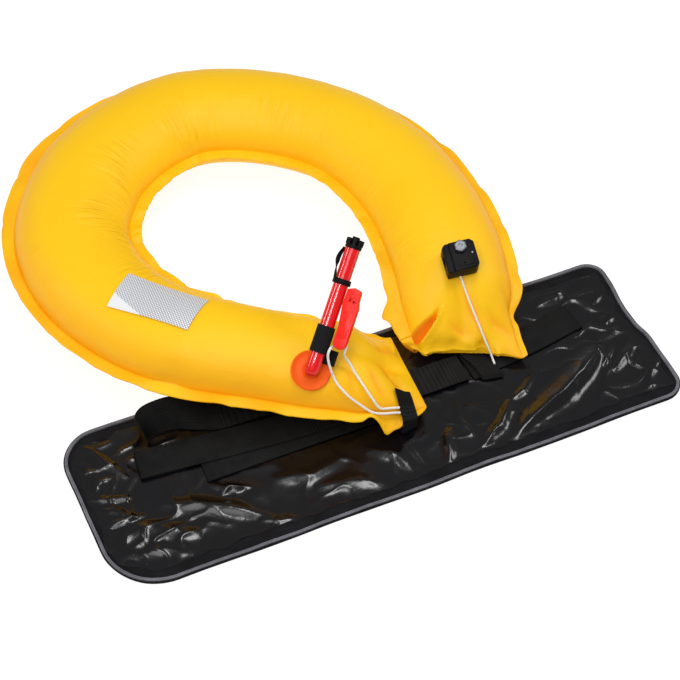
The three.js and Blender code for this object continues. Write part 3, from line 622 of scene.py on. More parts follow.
@dataclass(frozen=True)
class BeadFilm:
    """Silver-white glass-bead film pressed with a lattice of small cells, and a painted sheen over one
    corner.
    """

    name: str = "reflective_film"
    wall: str = "#B4B7BE"
    face: str = "#FAFBFD"
    cell: float = 2.5
    # How far along the edge the corner of painted sheen reaches, in millimetres.
    plain: float = 40.0

    def material(self) -> Material:
        """The finish as a material."""
        material, tree, shader = new_material(self.name, Metallic=0.2, Roughness=0.36)
        place = output_of(tree, "TexCoord", output="UV")
        cells = crossed(tree, place, self.cell, ((45, "X"), (45, "Y")))
        # One corner, cut off by a slanting line, has no cells: it is a painted sheen, plain pale where the
        # film reflects the light.
        corner = add_node(tree, "ShaderNodeSeparateXYZ", {"Vector": place}).outputs
        slant = {0: corner["Y"], 1: 2.4, 2: corner["X"]}
        slant = output_of(tree, "Math", slant, operation="MULTIPLY_ADD")
        near = self.plain / 1000
        edge = {"Value": slant, "From Min": near, "From Max": near + 0.002}
        off_sheen = output_of(tree, "MapRange", edge)
        below = output_of(tree, "Math", {0: cells, 1: 1.0}, operation="SUBTRACT")
        # The lattice's cells, or plain pale in the painted sheen.
        lattice = output_of(tree, "Math", {0: below, 1: off_sheen, 2: 1.0}, operation="MULTIPLY_ADD")
        colour = ramp(tree, lattice, [(0.05, self.wall), (0.45, self.face)])
        tree.links.new(colour, shader.inputs["Base Color"])
        relief(tree, shader, [(lattice, 0.2)])
        return material


@dataclass(frozen=True)
class ClearPlastic:
    """Soft vinyl or polycarbonate with colour through it: light shines in at its edges."""

    name: str
    colour: str
    roughness: float = 0.15
    passes: float = 0.25
    coat: float = 0.3
    shine: float = 0.5

    def material(self) -> Material:
        """The finish as a material."""
        material, tree, shader = new_material(
            self.name, self.colour, Roughness=self.roughness, Transmission_Weight=self.passes, IOR=1.5,
            Specular_IOR_Level=self.shine, Coat_Weight=self.coat, Coat_Roughness=0.05,
        )
        relief(tree, shader, [(object_noise(tree, 160.0), 0.3)])
        return material


@dataclass(frozen=True)
class MouldedPlastic:
    """Glass-filled nylon or rubber from a mould: a faint grain and a soft shine on its edges."""

    name: str
    colour: str = "#09090A"
    roughness: float = 0.42
    pale: str = "#141416"

    def material(self) -> Material:
        """The finish as a material."""
        material, tree, shader = new_material(self.name, Roughness=self.roughness, Specular_IOR_Level=0.1)
        cloud = object_noise(tree, 220.0, 3.0)
        tree.links.new(ramp(tree, cloud, [(0.3, self.colour), (0.8, self.pale)]), shader.inputs["Base Color"])
        relief(tree, shader, [(object_noise(tree, 1500.0, 1.0), 0.08)])
        return material


@dataclass(frozen=True)
class PlatedSteel:
    """Bright zinc-plated steel: even, with light wear that blurs its reflections in places."""

    name: str = "plated_steel"
    colour: str = "#6A6C6F"

    def material(self) -> Material:
        """The finish as a material."""
        material, tree, shader = new_material(self.name, self.colour, Metallic=1.0)
        cloud = object_noise(tree, 400.0, 3.0)
        wear = output_of(tree, "MapRange", {"Value": cloud, "To Min": 0.3, "To Max": 0.5})
        tree.links.new(wear, shader.inputs["Roughness"])
        relief(tree, shader, [(cloud, 0.05)])
        return material


@dataclass(frozen=True)
class BraidedCord:
    """White polyester braid: soft, with its strands crossing on the slant."""

    name: str = "braided_cord"
    colour: str = "#FFFDF8"
    gap: str = "#ECE8DE"
    strand: float = 1.1

    def material(self) -> Material:
        """The finish as a material."""
        material, tree, shader = new_material(self.name, Roughness=0.7)
        braid = crossed(tree, output_of(tree, "TexCoord", output="UV"), self.strand, ((38, "X"), (-38, "X")))
        tree.links.new(ramp(tree, braid, [(0.0, self.gap), (0.3, self.colour)]), shader.inputs["Base Color"])
        relief(tree, shader, [(braid, 0.3)])
        return material


# The studio.


@dataclass
class Studio:
    """The camera, the pale floor and the soft light."""

    lens: float = 108.5
    eye: tuple[float, float, float] = (-602.7, -1485.35, 1800.2)
    aim: tuple[float, float, float] = (11.7, -105.35, 0.0)
    glow: float = 0.87
    sky: float = 0.25
    lights: tuple[tuple[str, tuple[float, float, float], float, float], ...] = (
        ("key", (-0.8, -0.9, 2.4), 1.6, 24.0),
        ("front", (-1.05, -1.3, 2.0), 0.25, 8.0),
        ("top", (0.35, 0.0, 2.4), 0.6, 13.5),
        ("left", (-2.0, 0.7, 1.3), 0.5, 8.0),
        ("right", (1.85, -0.35, 1.7), 0.8, 13.0),
    )

    def camera(self) -> None:
        """Makes the camera at the photograph's angle."""
        data = bpy.data.cameras.new("camera")
        data.lens = self.lens
        data.sensor_width = 36.0
        data.clip_end = 20.0
        obj = new_object("camera", data)
        eye = Vector(self.eye) / 1000
        look = Vector(self.aim) / 1000 - eye
        obj.location = eye
        obj.rotation_euler = look.to_track_quat("-Z", "Y").to_euler()
        bpy.context.scene.camera = obj

    def light(self, name: str, place: tuple[float, float, float], size: float, power: float) -> None:
        """Adds a square soft light that faces the pack.

        Args:
            name: the light's name.
            place: where it hangs, in metres.
            size: its side, in metres.
            power: its power, in watts.
        """
        data = bpy.data.lights.new(name, "AREA")
        data.shape = "SQUARE"
        data.size = size
        data.energy = power
        obj = new_object(name, data)
        obj.location = place
        obj.rotation_euler = (-Vector(place)).to_track_quat("-Z", "Y").to_euler()

    def floor(self) -> None:
        """Lays the pale floor."""
        material, _, shader = new_material(
            "pale_floor", "#7C7C7C", Roughness=0.9, Specular_IOR_Level=0.0, Emission_Strength=self.glow
        )
        shader.inputs["Emission Color"].default_value = linear("#FFFFFF")
        bm = bmesh.new()
        bmesh.ops.create_grid(bm, x_segments=1, y_segments=1, size=8.0)
        obj = new_object("floor", bm)
        bm.free()
        obj.data.materials.append(material)

    def build(self) -> None:
        """Makes the floor, the lights and the sky."""
        self.floor()
        for light in self.lights:
            self.light(*light)
        scene = bpy.context.scene
        scene.world = bpy.data.worlds.new("studio")
        scene.world.use_nodes = True
        inputs = scene.world.node_tree.nodes["Background"].inputs
        inputs["Color"].default_value = linear("#FFFFFF")
        inputs["Strength"].default_value = self.sky
        scene.view_settings.view_transform = "Standard"


# Cords.


@dataclass
class Cords:
    """The whistle's cord and the inflator's pull cord, as they lie."""

    whistle_diameter: float = 2.8
    pull_diameter: float = 2.4
    whistle_route: tuple[tuple[float, float, float], ...] = (
        (22.2, -27.2, 33.3), (15, -26.5, 36), (8, -26, 38), (1, -23.5, 38.5), (-6, -21, 40.5),
        (-12, -17.8, 44.5), (-19, -14, 52), (-25.5, -9.8, 59.2), (-30.5, -6, 65), (-34.5, -1, 71),
        (-38.5, 4.5, 77.5),
        (-40.5, 10.8, 84.5), (-43, 13.6, 96.8), (-43.8, 16.9, 107), (-43.4, 18.6, 114.5), (-40.5, 21, 118.5),
        (-36.5, 24.6, 117), (-33, 27.5, 113.2), (-29.4, 28.9, 113.8), (-25.6, 29.2, 116.2),
        (-21.8, 27.2, 117.4),
        (-20.2, 23.3, 116.2), (-21.5, 20, 113.8), (-24, 18.5, 109.5), (-23.5, 20, 101), (-20, 20.5, 92),
        (-17.5, 17, 86), (-15.5, 12, 79.5), (-13, 5.5, 73.5), (-10.5, -2.2, 68), (-8, -9, 62.5),
        (-4.5, -14.4, 54.6), (-1.5, -18.4, 47.5), (3, -20.5, 42.5), (9, -21.4, 41), (15, -22.2, 39.5),
        (23, -23.2, 37.4),
    )
    pull_route: tuple[tuple[float, float, float], ...] = (
        (149.4, 87.6, 81.7), (149.5, 82, 78), (150, 76, 71.5), (150.5, 69, 65), (151, 61.5, 59),
        (151.5, 54.5, 53.5), (152.3, 47.5, 47.5), (153, 40.7, 41.5), (153.8, 34, 35.2), (154.7, 28.4, 29.5),
        (155.8, 23.9, 24), (157.2, 20.6, 18.5), (157.9, 17.2, 13.9), (157.8, 13.2, 11.4), (157.2, 8.4, 10.9),
    )

    def cord(
        self, name: str, route: Sequence[Sequence[float]], diameter: float, material: Material
    ) -> None:
        """Makes one cord.

        Args:
            name: the solid's name; the piece is named after it.
            route: the points it follows.
            diameter: its diameter.
            material: its material.
        """
        points = smooth_line(route, 1.1)
        bm = bmesh.new()
        tube_grid(bm, points, diameter / 2, 14)
        obj = finish_piece(name + "_braid", bm, material, Slot.CORD, [name])
        path = [TO_ROW @ point for point in points]
        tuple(path[0])
        running_lengths(path)[-1]

    def build(self) -> None:
        """Makes both cords."""
        material = BraidedCord().material()
        self.cord("whistle_cord", self.whistle_route, self.whistle_diameter, material)
        self.cord("pull_cord", self.pull_route, self.pull_diameter, material)


# The bladder.


@dataclass(frozen=True)
class BladderRow:
    """One row of the bladder's run: shares of its width, length, section and flange."""

    x: float
    y: float
    body: float
    crown: float
    belly: float
    outer: float
    inner: float
    lift: float
    pleat: float


@dataclass(frozen=True)
class Section:
    """The bladder's section at one place of its run, in millimetres."""

    centre: Vector
    inward: Vector
    half: float
    crown: float
    belly: float
    outer: float
    inner: float
    pleat: float
    seam: float


@dataclass(frozen=True)
class Pull:
    """A place where an arm's end is drawn out of its plain form, by a shift in millimetres."""

    left: bool
    x: float
    y: float
    reach: float
    by: tuple[float, float, float]


@dataclass(frozen=True)
class Pleat:
    """A pleat of an arm's end along a line of the plan.

    A flap pleat steps down on its right side under the cloth on its left; the others are dents. It
    reaches its depth at the start share of its line, and loses the close share of it by the end.
    """

    left: bool
    line: tuple[tuple[float, float], ...]
    depth: float
    width: float
    flap: bool = False
    # How strongly the pleat is painted in shade, from 0 to 1.
    shade_strength: float = 0.3
    start: float = 0.5
    close: float = 0.5


@dataclass
class Bladder:
    """The horseshoe of two welded panels, its patch and the places on it."""

    width: float = 561.0
    length: float = 592.0
    tube_width: float = 130.0
    tube_height: float = 100.0
    flange: float = 14.0
    skin: float = 1.5
    pleat_width: float = 0.2
    belly_flatness: float = 0.8
    left_arm: float = 5.0
    right_arm: float = 16.0
    patch_length: float = 100.0
    patch_width: float = 50.0
    patch_row: float = 5.56
    patch_across: float = 0.09
    patch_turn: float = -49.0
    rows: tuple[BladderRow, ...] = tuple(BladderRow(*row) for row in (
        (0.107, 0.051, 0.77, 0.03, 0.03, 0.10, 0.15, 1.9, 0),
        (0.072, 0.053, 0.83, 0.20, 0.12, 0.71, 0.71, 1.1, 0.45),
        (0.010, 0.062, 0.87, 0.38, 0.30, 0.86, 0.86, 1.0, 0.15),
        (-0.080, 0.096, 0.88, 0.47, 0.44, 1.00, 1.00, 1.0, 0),
        (-0.159, 0.144, 0.88, 0.50, 0.48, 1.00, 1.00, 1.0, 0),
        (-0.282, 0.233, 0.94, 0.50, 0.50, 1.00, 1.00, 0.9, 0),
        (-0.357, 0.334, 0.97, 0.50, 0.50, 1.00, 1.00, 0.2, 0),
        (-0.403, 0.453, 1.00, 0.50, 0.50, 0.95, 1.00, 0, 0),
        (-0.403, 0.568, 1.02, 0.50, 0.50, 1.05, 1.00, 0, 0),
        (-0.362, 0.659, 1.03, 0.50, 0.50, 1.30, 1.00, 0, 0),
        (-0.280, 0.745, 1.03, 0.50, 0.50, 1.45, 1.00, 0, 0),
        (-0.162, 0.801, 1.02, 0.50, 0.50, 1.20, 1.00, 0, 0),
        (-0.037, 0.812, 0.98, 0.50, 0.50, 1.00, 1.00, 0, 0),
        (0.100, 0.757, 0.95, 0.51, 0.50, 1.00, 1.00, 0, 0),
        (0.221, 0.651, 0.93, 0.51, 0.50, 1.00, 1.00, 0, 0),
        (0.282, 0.535, 0.96, 0.50, 0.50, 1.00, 1.00, 0, 0),
        (0.303, 0.424, 0.98, 0.50, 0.50, 1.00, 1.00, 0, 0),
        (0.299, 0.321, 1.00, 0.48, 0.49, 1.00, 1.00, 0.4, 0),
        (0.284, 0.230, 1.00, 0.44, 0.42, 1.00, 1.00, 1.0, 0),
        (0.262, 0.152, 0.96, 0.39, 0.33, 0.86, 1.40, 1.1, 0.1),
        (0.246, 0.088, 0.90, 0.22, 0.14, 0.50, 1.00, 1.3, 0.5),
        (0.235, 0.051, 0.89, 0.03, 0.03, 0.57, 0.57, 1.6, 0),
    ))

    pulls: tuple[Pull, ...] = tuple(Pull(*row) for row in (
        (False, 67, 110, 13, (-8, -7, -2)),
        (False, 75, 125, 9, (4, -3, 0)),
        (False, 68, 48, 16, (12, 13, 0)),
        (False, 101, 39, 12, (0, 9, 0)),
        (False, 122, 33, 11, (0, 9, 0)),
        (False, 137, 28, 5, (0, 3, 0)),
        (False, 152, 24, 8, (0, 9, 0)),
        (False, 164, 20, 6, (0, -5, 0)),
        (False, 187, 15, 15, (1, -13, -2)),
        (False, 207, 50, 9, (-6, 2, -3)),
        (False, 219, 70, 14, (4, 1, 2)),
        (True, 4, -33, 7, (-3, -5, -14)),
        (True, 16, -34, 9, (0, -3, -8)),
        (True, -12, -28, 8, (0, 4, 5)),
        (True, 63, 60, 8, (-5, 0, 0)),
        (True, 62, 78, 9, (1, 4, 0)),
    ))
    # Where the belt lifts the cloth and the pull cord presses it: x, y, reach and shift.
    nudges: tuple[tuple[float, float, float, tuple[float, float, float]], ...] = (
        (-190.0, 98.0, 16.0, (0.5, 2.5, 3.0)),
        (158.0, 19.0, 6.0, (0.0, 0.0, -3.0)),
    )
    pleats: tuple[Pleat, ...] = (
        Pleat(
            False, ((121, 76), (109, 66), (96, 60), (77, 53)), 15, 19,
            flap=True, shade_strength=0.72, start=0.3, close=0.0,
        ),
        Pleat(False, ((198, 88), (197, 66), (203, 50)), 4, 6, start=0.6, close=0.0),
        Pleat(False, ((166, 60), (173, 42), (193, 28)), 3.5, 7),
        Pleat(False, ((118, 62), (130, 52), (140, 44)), 2.5, 6),
        Pleat(False, ((150, 84), (152, 60), (156, 36)), 2, 5),
        Pleat(True, ((30, 44), (27, 14), (35, 2)), 4.5, 6, start=0.4, close=0.0),
        Pleat(True, ((8, 30), (6, 4), (10, -16)), 2, 6),
        Pleat(True, ((58, 66), (44, 56), (30, 52)), 2.5, 5),
        Pleat(True, ((-52, 44), (-60, 28), (-64, 14)), 2.5, 6),
        Pleat(True, ((-20, 30), (-22, 8), (-26, -8)), 1.5, 6),
    )

    def column(self, key: str, place: float) -> float:
        """One column's value at a place of the run."""
        return blend([getattr(row, key) for row in self.rows], place)

    def section(self, place: float) -> Section:
        """The section at a place of the run."""
        last = len(self.rows) - 1

        def plan(p: float) -> Vector:
            p = min(max(p, 0.0), last)
            return Vector((self.column("x", p) * self.width, self.column("y", p) * self.length, 0.0))

        ahead = (plan(place + 0.1) - plan(place - 0.1)).normalized()
        belly = self.column("belly", place) * self.tube_height
        return Section(
            centre=plan(place),
            inward=Vector((ahead.y, -ahead.x, 0.0)),
            half=self.column("body", place) * self.tube_width / 2,
            crown=self.column("crown", place) * self.tube_height,
            belly=belly,
            outer=self.column("outer", place) * self.flange,
            inner=self.column("inner", place) * self.flange,
            pleat=self.column("pleat", place),
            seam=max(self.column("lift", place), 0.0) * STACK + belly,
        )

    def arc(self, section: Section, side: int, across: float) -> float:
        """Height over the flange for the upper (1) or lower (-1) panel."""
        rise = (section.crown if side > 0 else section.belly) - self.skin - GAP / 2
        bow = math.sqrt(max(1 - across * across, 0.0))
        if side < 0:
            return rise * bow**self.belly_flatness
        return rise * bow * (1 - section.pleat * math.exp(-((across / self.pleat_width) ** 2)))

    def point(self, section: Section, offset: float, height: float) -> Vector:
        """A point of a section from its seam."""
        return section.centre + section.inward * offset + UP * (section.seam + height)

    def on_top(self, place: float, across: float, clear: float = 0.0) -> tuple[Vector, Vector, Vector]:
        """A point of the upper face and its frame.

        Args:
            place: the place of the run.
            across: from -1 at the outer side to 1 at the inner side.
            clear: how far over the face.

        Returns:
            The point, the direction along the run and the face's normal.
        """

        def at(p: float, a: float) -> Vector:
            section = self.section(p)
            return self.point(section, a * section.half, GAP / 2 + self.skin + self.arc(section, 1, a))

        small = 0.01
        along = (at(place + small, across) - at(place - small, across)).normalized()
        inward = (at(place, across + small) - at(place, across - small)).normalized()
        normal = inward.cross(along).normalized()
        return at(place, across) + normal * clear, along, normal

    def wrinkle(self, run: float, across: float, row: float) -> tuple[float, float, float]:
        """How the cloth puckers, and how much painted shade it takes.

        Args:
            run: the distance along the run, in millimetres.
            across: from -1 at the outer side to 1 at the inner side.
            row: the place of the run; the arms pucker less than the ring.

        Returns:
            The rise over the plain face in millimetres, how much painted shade it takes at its seams, in its
            creases and down its outer side, and how gathered, the last two from 0 to 1.
        """
        # How far it is on the ring, at the inner side and at the outer side.
        ring = 0.25 + 0.75 * smooth(3.5, 6.0, row) * (1 - smooth(13.0, 15.5, row))
        inner = ring * smooth(-0.25, 0.55, across) * (1 - 0.7 * smooth(0.88, 1.0, across))
        outer = smooth(-0.35, -0.85, across)
        # Narrow streaks across the run, drawn out of line, in patches, on broad soft waves.
        warp = noise.noise(Vector((run / 80, across * 0.8, 2.0)))
        patchy = smooth(-0.15, 0.4, noise.noise(Vector((run / 60, across * 1.6, 11.0))))
        streak = noise.noise(Vector((run / 8.5 + 1.2 * warp, across * 1.3, 5.0)))
        broad = noise.noise(Vector((run / 24 + warp, across * 1.1, 8.0)))
        rise = inner * patchy * (1.4 * streak + 0.8 * broad) + outer * (0.6 * broad + 0.3 * streak)
        rise += 1.1 * noise.noise(Vector((run / 110, across * 1.2, 0.5)))
        # Painted shade: at the seams, down the outer side and in the troughs of the puckers.
        seam = smooth(0.9, 1.0, abs(across))
        deep = 0.05 * seam + 0.2 * smooth(0.45, 1.0, -across) + 0.22 * inner * patchy * max(-streak, 0.0)
        return rise, deep, inner * (0.25 + 0.75 * patchy)

    def settle(self, point: Vector, row: float, above: bool) -> float:
        """Moves a point of the arms' ends into their pulls and pleats.

        Args:
            point: the point, moved in place.
            row: its place of the run.
            above: whether it is of the upper panel.

        Returns:
            How much painted shade it takes in a pleat, from 0 to 1.
        """
        for x, y, reach, by in self.nudges:
            near = math.exp(-((point.x - x) ** 2 + (point.y - y) ** 2) / reach**2)
            if near > 1e-3:
                point += Vector(by) * near
        left = row < self.left_arm
        if not left and row < self.right_arm:
            return 0.0
        plain = point.copy()
        for pull in self.pulls:
            if pull.left == left:
                near = math.exp(-((plain.x - pull.x) ** 2 + (plain.y - pull.y) ** 2) / pull.reach**2)
                point += Vector(pull.by) * near
        if not above:
            return 0.0
        deep = 0.0
        for pleat in self.pleats:
            if pleat.left != left:
                continue
            side, share = beside(pleat.line, plain.x, plain.y)
            taper = smooth(0.0, pleat.start, share) * (1 - pleat.close * smooth(0.75, 1.0, share))
            if pleat.flap:
                wide = max(pleat.width * share, 2.0)
                drop = smooth(-0.8, 0.8, side) * max(1 - max(side, 0.0) / wide, 0.0) ** 0.7
                lip = 1.6 * math.exp(-(((side + 2.2) / 3.4) ** 2))
                # The painted shade fills the recess under the flap, out to its right edge.
                under = smooth(-0.6, 0.6, side) * (1 - smooth(0.8 * wide, 1.1 * wide, side))
                shade = under * smooth(0.0, 0.35, share)
            else:
                # A dent takes painted shade as far as it drops.
                drop = shade = math.exp(-abs(side / pleat.width) ** 1.4)
                lip = 0.0
            point.z -= taper * (pleat.depth * drop - 0.15 * pleat.depth * lip)
            deep = max(deep, taper * shade * pleat.shade_strength)
        return deep

    def cloth(self, material: Material) -> Piece:
        """Makes the two welded panels as one closed skin.

        Args:
            material: the coated cloth.

        Returns:
            The piece.
        """
        # Faces along the run, and across the upper panel, the lower one and each side of the flange.
        columns = 1000
        upper, lower, weld = 76, 40, 6
        stations = [(1, "outer", k / weld) for k in range(weld)]
        stations += [(1, "arc", k / upper) for k in range(upper)]
        stations += [(1, "inner", k / weld) for k in range(weld + 1)]
        stations += [(-1, "inner", 1 - k / weld) for k in range(weld)]
        stations += [(-1, "arc", 1 - k / lower) for k in range(lower)]
        stations += [(-1, "outer", 1 - k / weld) for k in range(weld + 1)]
        last = len(self.rows) - 1
        sections = [self.section(last * k / columns) for k in range(columns + 1)]
        runs = running_lengths([section.centre for section in sections])
        # Each point's painted shade and how gathered it is.
        shade_and_gather: dict[tuple[int, int], tuple[float, float]] = {}
        thin = 0.7
        girth = 330.0
        lines = len(stations)

        def place(u: float, v: float) -> Vector:
            i = round(u * columns)
            j = round(v * lines) % lines
            side, region, t = stations[j]
            section = sections[i]
            run = runs[i]
            row = last * u
            if region == "arc":
                across = -math.cos(math.pi * t)
                rise, deep, gather = self.wrinkle(run, across, row)
                height = self.arc(section, side, across)
                # The wrinkles fade out where the panel comes down to its weld.
                swell = min(height / self.flange, 1.0)
                rise *= swell if side > 0 else swell * 0.6
                tall = max(section.crown if side > 0 else section.belly, 1.0)
                bow = math.sqrt(max(1 - across * across, 0.0))
                normal = Vector((across / section.half, bow / tall)).normalized()
                offset = across * section.half + normal.x * rise
                spot = self.point(section, offset, side * (thin + height + normal.y * rise))
            else:
                wide = section.outer if region == "outer" else section.inner
                share = 1 - t if region == "outer" else t
                sway = noise.noise(Vector((run / 46, 3.0 if region == "outer" else 9.0, 0.0)))
                ripple = math.sin(2 * math.pi * (run / 64 + 0.6 * sway))
                full = min(wide / self.flange, 1.0)
                drop = share * full * (1.5 * ripple + 3.4 * sway) + 0.5 * full * math.sin(math.pi * share)
                stretch = share * full * (1.2 * sway - 0.8 * smooth(0.6, 1.0, -ripple))
                offset = section.half + share * wide + stretch
                across = -1.0 if region == "outer" else 1.0
                # The flanges are painted in shade, the outer one deeper and unevenly.
                deep, gather = (0.14 + 0.3 * sway if region == "outer" else 0.05), 0.2
                spot = self.point(section, across * offset, side * thin + drop)
            deep = max(deep, self.settle(spot, row, side > 0))
            shade_and_gather[(i, j)] = (deep, gather)
            return spot

        bm = bmesh.new()
        lay_grid(bm, columns, lines, place, (runs[-1], girth), close_lines=True)
        close_ends(bm)
        # The painted shade and the gathering go to the material as attributes.
        crease = bm.verts.layers.float.new("crease")
        gathered = bm.verts.layers.float.new("gather")
        uv = bm.loops.layers.uv.verify()
        for face in bm.faces:
            for loop in face.loops:
                i = round(loop[uv].uv.x * 1000 / runs[-1] * columns)
                j = round(loop[uv].uv.y * 1000 / girth * lines) % lines
                loop.vert[crease], loop.vert[gathered] = shade_and_gather.get((i, j), (0.0, 0.0))
        nodes = ["bladder_upper", "bladder_lower"]
        return finish_piece("bladder_cloth", bm, material, Slot.BLADDER, nodes, sharp=80)

    def seat_over(self, plan: Vector, near: float) -> tuple[float, float]:
        """The row and across place of the bladder over a point of the plan."""
        row = near
        for _ in range(8):
            section = self.section(row)
            before, after = self.section(row - 0.5).centre, self.section(row + 0.5).centre
            ahead = Vector((-section.inward.y, section.inward.x, 0.0))
            row += (plan - section.centre).dot(ahead) / (after - before).length
        section = self.section(row)
        return row, (plan - section.centre).dot(section.inward) / section.half

    def patch(self) -> Piece:
        """Makes the reflective patch, laid over the crown."""
        length, width, thick, clear = self.patch_length, self.patch_width, 0.6, 1.3
        seat = self.section(self.patch_row)
        middle = seat.centre + seat.inward * (self.patch_across * seat.half)
        turn = math.radians(self.patch_turn)
        along = Vector((math.cos(turn), math.sin(turn), 0.0))
        aside = Vector((-math.sin(turn), math.cos(turn), 0.0))

        def place(u: float, v: float) -> Vector:
            plan = middle + along * ((u - 0.5) * length) + aside * ((v - 0.5) * width)
            return self.on_top(*self.seat_over(plan, self.patch_row), clear)[0]

        bm = bmesh.new()
        lay_grid(bm, 40, 20, place, (length, width))
        bmesh.ops.solidify(bm, geom=bm.faces[:], thickness=thick)
        return finish_piece("patch_film", bm, BeadFilm().material(), Slot.FILM, ["reflective_patch"])

    def build(self) -> Piece:
        """Makes the cloth and its patch, and returns the cloth."""
        cloth = self.cloth(CoatedCloth().material())
        self.patch()
        return cloth


# The belt and the loops.


@dataclass(frozen=True)
class BandRow:
    """One row of a strap: plan shares of the pouch, the direction of its width, and its lean."""

    x: float
    y: float
    turn: float
    tilt: float = 0.0
    level: float = 0.0


@dataclass
class Belt:
    """The webbing runs on the lining and the two loops at the bladder's ends."""

    loop_width: float = 25.0
    loop_thickness: float = 1.4
    folded_under: tuple[float, float] = (0.07, -0.022)
    front: tuple[BandRow, ...] = (
        BandRow(0.183, 0.098, 88), BandRow(-0.088, 0.102, 87), BandRow(-0.200, 0.126, 85),
        BandRow(-0.301, 0.160, 84), BandRow(-0.383, 0.186, 83),
    )
    tail: tuple[BandRow, ...] = (BandRow(0.02, 0.045, 90), BandRow(-0.29, 0.045, 86))
    back: tuple[BandRow, ...] = (
        BandRow(-0.356, 0.286, 178, 74), BandRow(-0.358, 0.325, 165, 72), BandRow(-0.350, 0.362, 130, 64),
        BandRow(-0.332, 0.382, 100, 55), BandRow(-0.298, 0.382, 88, 48), BandRow(-0.260, 0.352, 86, 15),
        BandRow(-0.220, 0.318, 84, 0), BandRow(-0.080, 0.300, 84, 0),
    )
    right: tuple[BandRow, ...] = (
        BandRow(0.190, 0.090, 92), BandRow(0.300, 0.125, 96), BandRow(0.406, 0.178, 97),
    )
    right_loop: tuple[BandRow, ...] = (
        BandRow(0.202, 0.190, -22, 0, 1.12), BandRow(0.216, 0.070, -18, 0, 1.10),
        BandRow(0.219, 0.005, -14, 0, 1.06), BandRow(0.220, -0.028, -12, 0, 0.66),
    )

    def across(self, row: BandRow) -> Vector:
        """The direction of a row's width."""
        turn, lean = math.radians(row.turn), math.radians(row.tilt)
        return Vector((math.cos(turn) * math.cos(lean), math.sin(turn) * math.cos(lean), math.sin(lean)))

    def fine_rows(self, rows: Sequence[BandRow], steps: int) -> list[BandRow]:
        """The rows with smooth steps between them."""
        keys = ("x", "y", "turn", "tilt", "level")
        count = (len(rows) - 1) * steps
        return [
            BandRow(*(blend([getattr(row, key) for row in rows], k / steps) for key in keys))
            for k in range(count + 1)
        ]

    def band(
        self, name: str, rows: Sequence[BandRow], heights: Sequence[float], size: tuple[float, float],
        material: Material,
    ) -> Piece:
        """Makes one webbing piece.

        Args:
            name: the solid's name; the piece is named after it.
            rows: its fine rows.
            heights: the height of its middle at each row.
            size: its width and thickness.
            material: its material.

        Returns:
            The piece.
        """
        centres = [
            Vector((row.x * POUCH_LENGTH, row.y * POUCH_DEPTH, height)) for row, height in zip(rows, heights)
        ]
        bm = bmesh.new()
        strap_grid(bm, centres, [self.across(row) for row in rows], *size)
        return finish_piece(name + "_webbing", bm, material, Slot.WEBBING, [name], sharp=50)

    def strap(
        self, name: str, rows: Sequence[BandRow], base: float, material: Material
    ) -> Piece:
        """Makes a webbing run that rests on its lower edge where it leans.

        Args:
            name: the solid's name; the piece is named after it.
            rows: its rows.
            base: the height it rests on.
            material: its material.

        Returns:
            The piece.
        """
        fine = self.fine_rows(rows, 14)
        heights = []
        for row in fine:
            lean = math.radians(row.tilt)
            rise = WEBBING_WIDTH / 2 * abs(math.sin(lean)) + WEBBING_THICKNESS / 2 * math.cos(lean)
            wave = 0.25 + 0.25 * noise.noise(Vector((row.x * 14, row.y * 5, 1.0)))
            heights.append(base + rise + wave)
        return self.band(name, fine, heights, (WEBBING_WIDTH, WEBBING_THICKNESS), material)

    def front_run(self, material: Material) -> Piece:
        """Makes the front run with its end folded under."""
        level = UPPER_LAYER + WEBBING_THICKNESS / 2 + 0.4
        rows = [BandRow(r.x, r.y, r.turn, 0, level) for r in self.fine_rows(self.front, 12)]
        end = rows[-1]
        radius = WEBBING_STEP / 2
        for k in range(1, 9):
            angle = math.pi * k / 8
            x = end.x - radius * math.sin(angle) / POUCH_LENGTH
            rows.append(BandRow(x, end.y, end.turn, 0, end.level - radius * (1 - math.cos(angle))))
        low = rows[-1]
        under_x, under_y = self.folded_under
        for k in range(1, 9):
            rows.append(BandRow(low.x + under_x * k / 8, low.y + under_y * k / 8, low.turn, 0, low.level))
        heights = [row.level for row in rows]
        return self.band("belt_front", rows, heights, (WEBBING_WIDTH, WEBBING_THICKNESS), material)

    def left_loop(self, bladder: Bladder, material: Material) -> Piece:
        """Makes the loop that comes over the left arm's end."""
        weld = GAP / 2 + bladder.skin
        low = LINER_TOP + GAP

        def place(u: float, v: float) -> Vector:
            row = 0.76 + 0.64 * v
            section = bladder.section(row)
            edge = -section.half - section.outer
            stops = [bladder.on_top(row, across, 1.6)[0] for across in (-0.66, -0.73, -0.8, -0.86, -0.92)]
            stops.append(bladder.point(section, edge - 1.2, weld + 1.6))
            stops.append(bladder.point(section, edge - 2.2, -weld))
            for offset in (-2.2, 4.0, 26.0):
                spot = bladder.point(section, edge + offset, 0.0)
                spot.z = low + (2.0 if offset < 0 else 0.7)
                stops.append(spot)
            return Vector([blend(column, u * (len(stops) - 1)) for column in zip(*stops)])

        bm = bmesh.new()
        lay_grid(bm, 60, 10, place, (90.0, self.loop_width))
        bmesh.ops.solidify(bm, geom=bm.faces[:], thickness=self.loop_thickness * 0.8)
        return finish_piece("arm_loop_left_webbing", bm, material, Slot.WEBBING, ["arm_loop_left"], sharp=50)

    def build(self, bladder: Bladder) -> list[Piece]:
        """Makes every run and loop, and returns them."""
        material = RibbedWebbing().material()
        pieces = [
            self.front_run(material),
            self.strap("belt_tail", self.tail, LOWER_LAYER, material),
            self.strap("belt_back", self.back, LOWER_LAYER, material),
            self.strap("belt_right", self.right, LOWER_LAYER, material),
            self.left_loop(bladder, material),
        ]
        fine = self.fine_rows(self.right_loop, 10)
        heights = [row.level * STACK for row in fine]
        size = (self.loop_width, self.loop_thickness)
        return [*pieces, self.band("arm_loop_right", fine, heights, size, material)]


# The pouch.


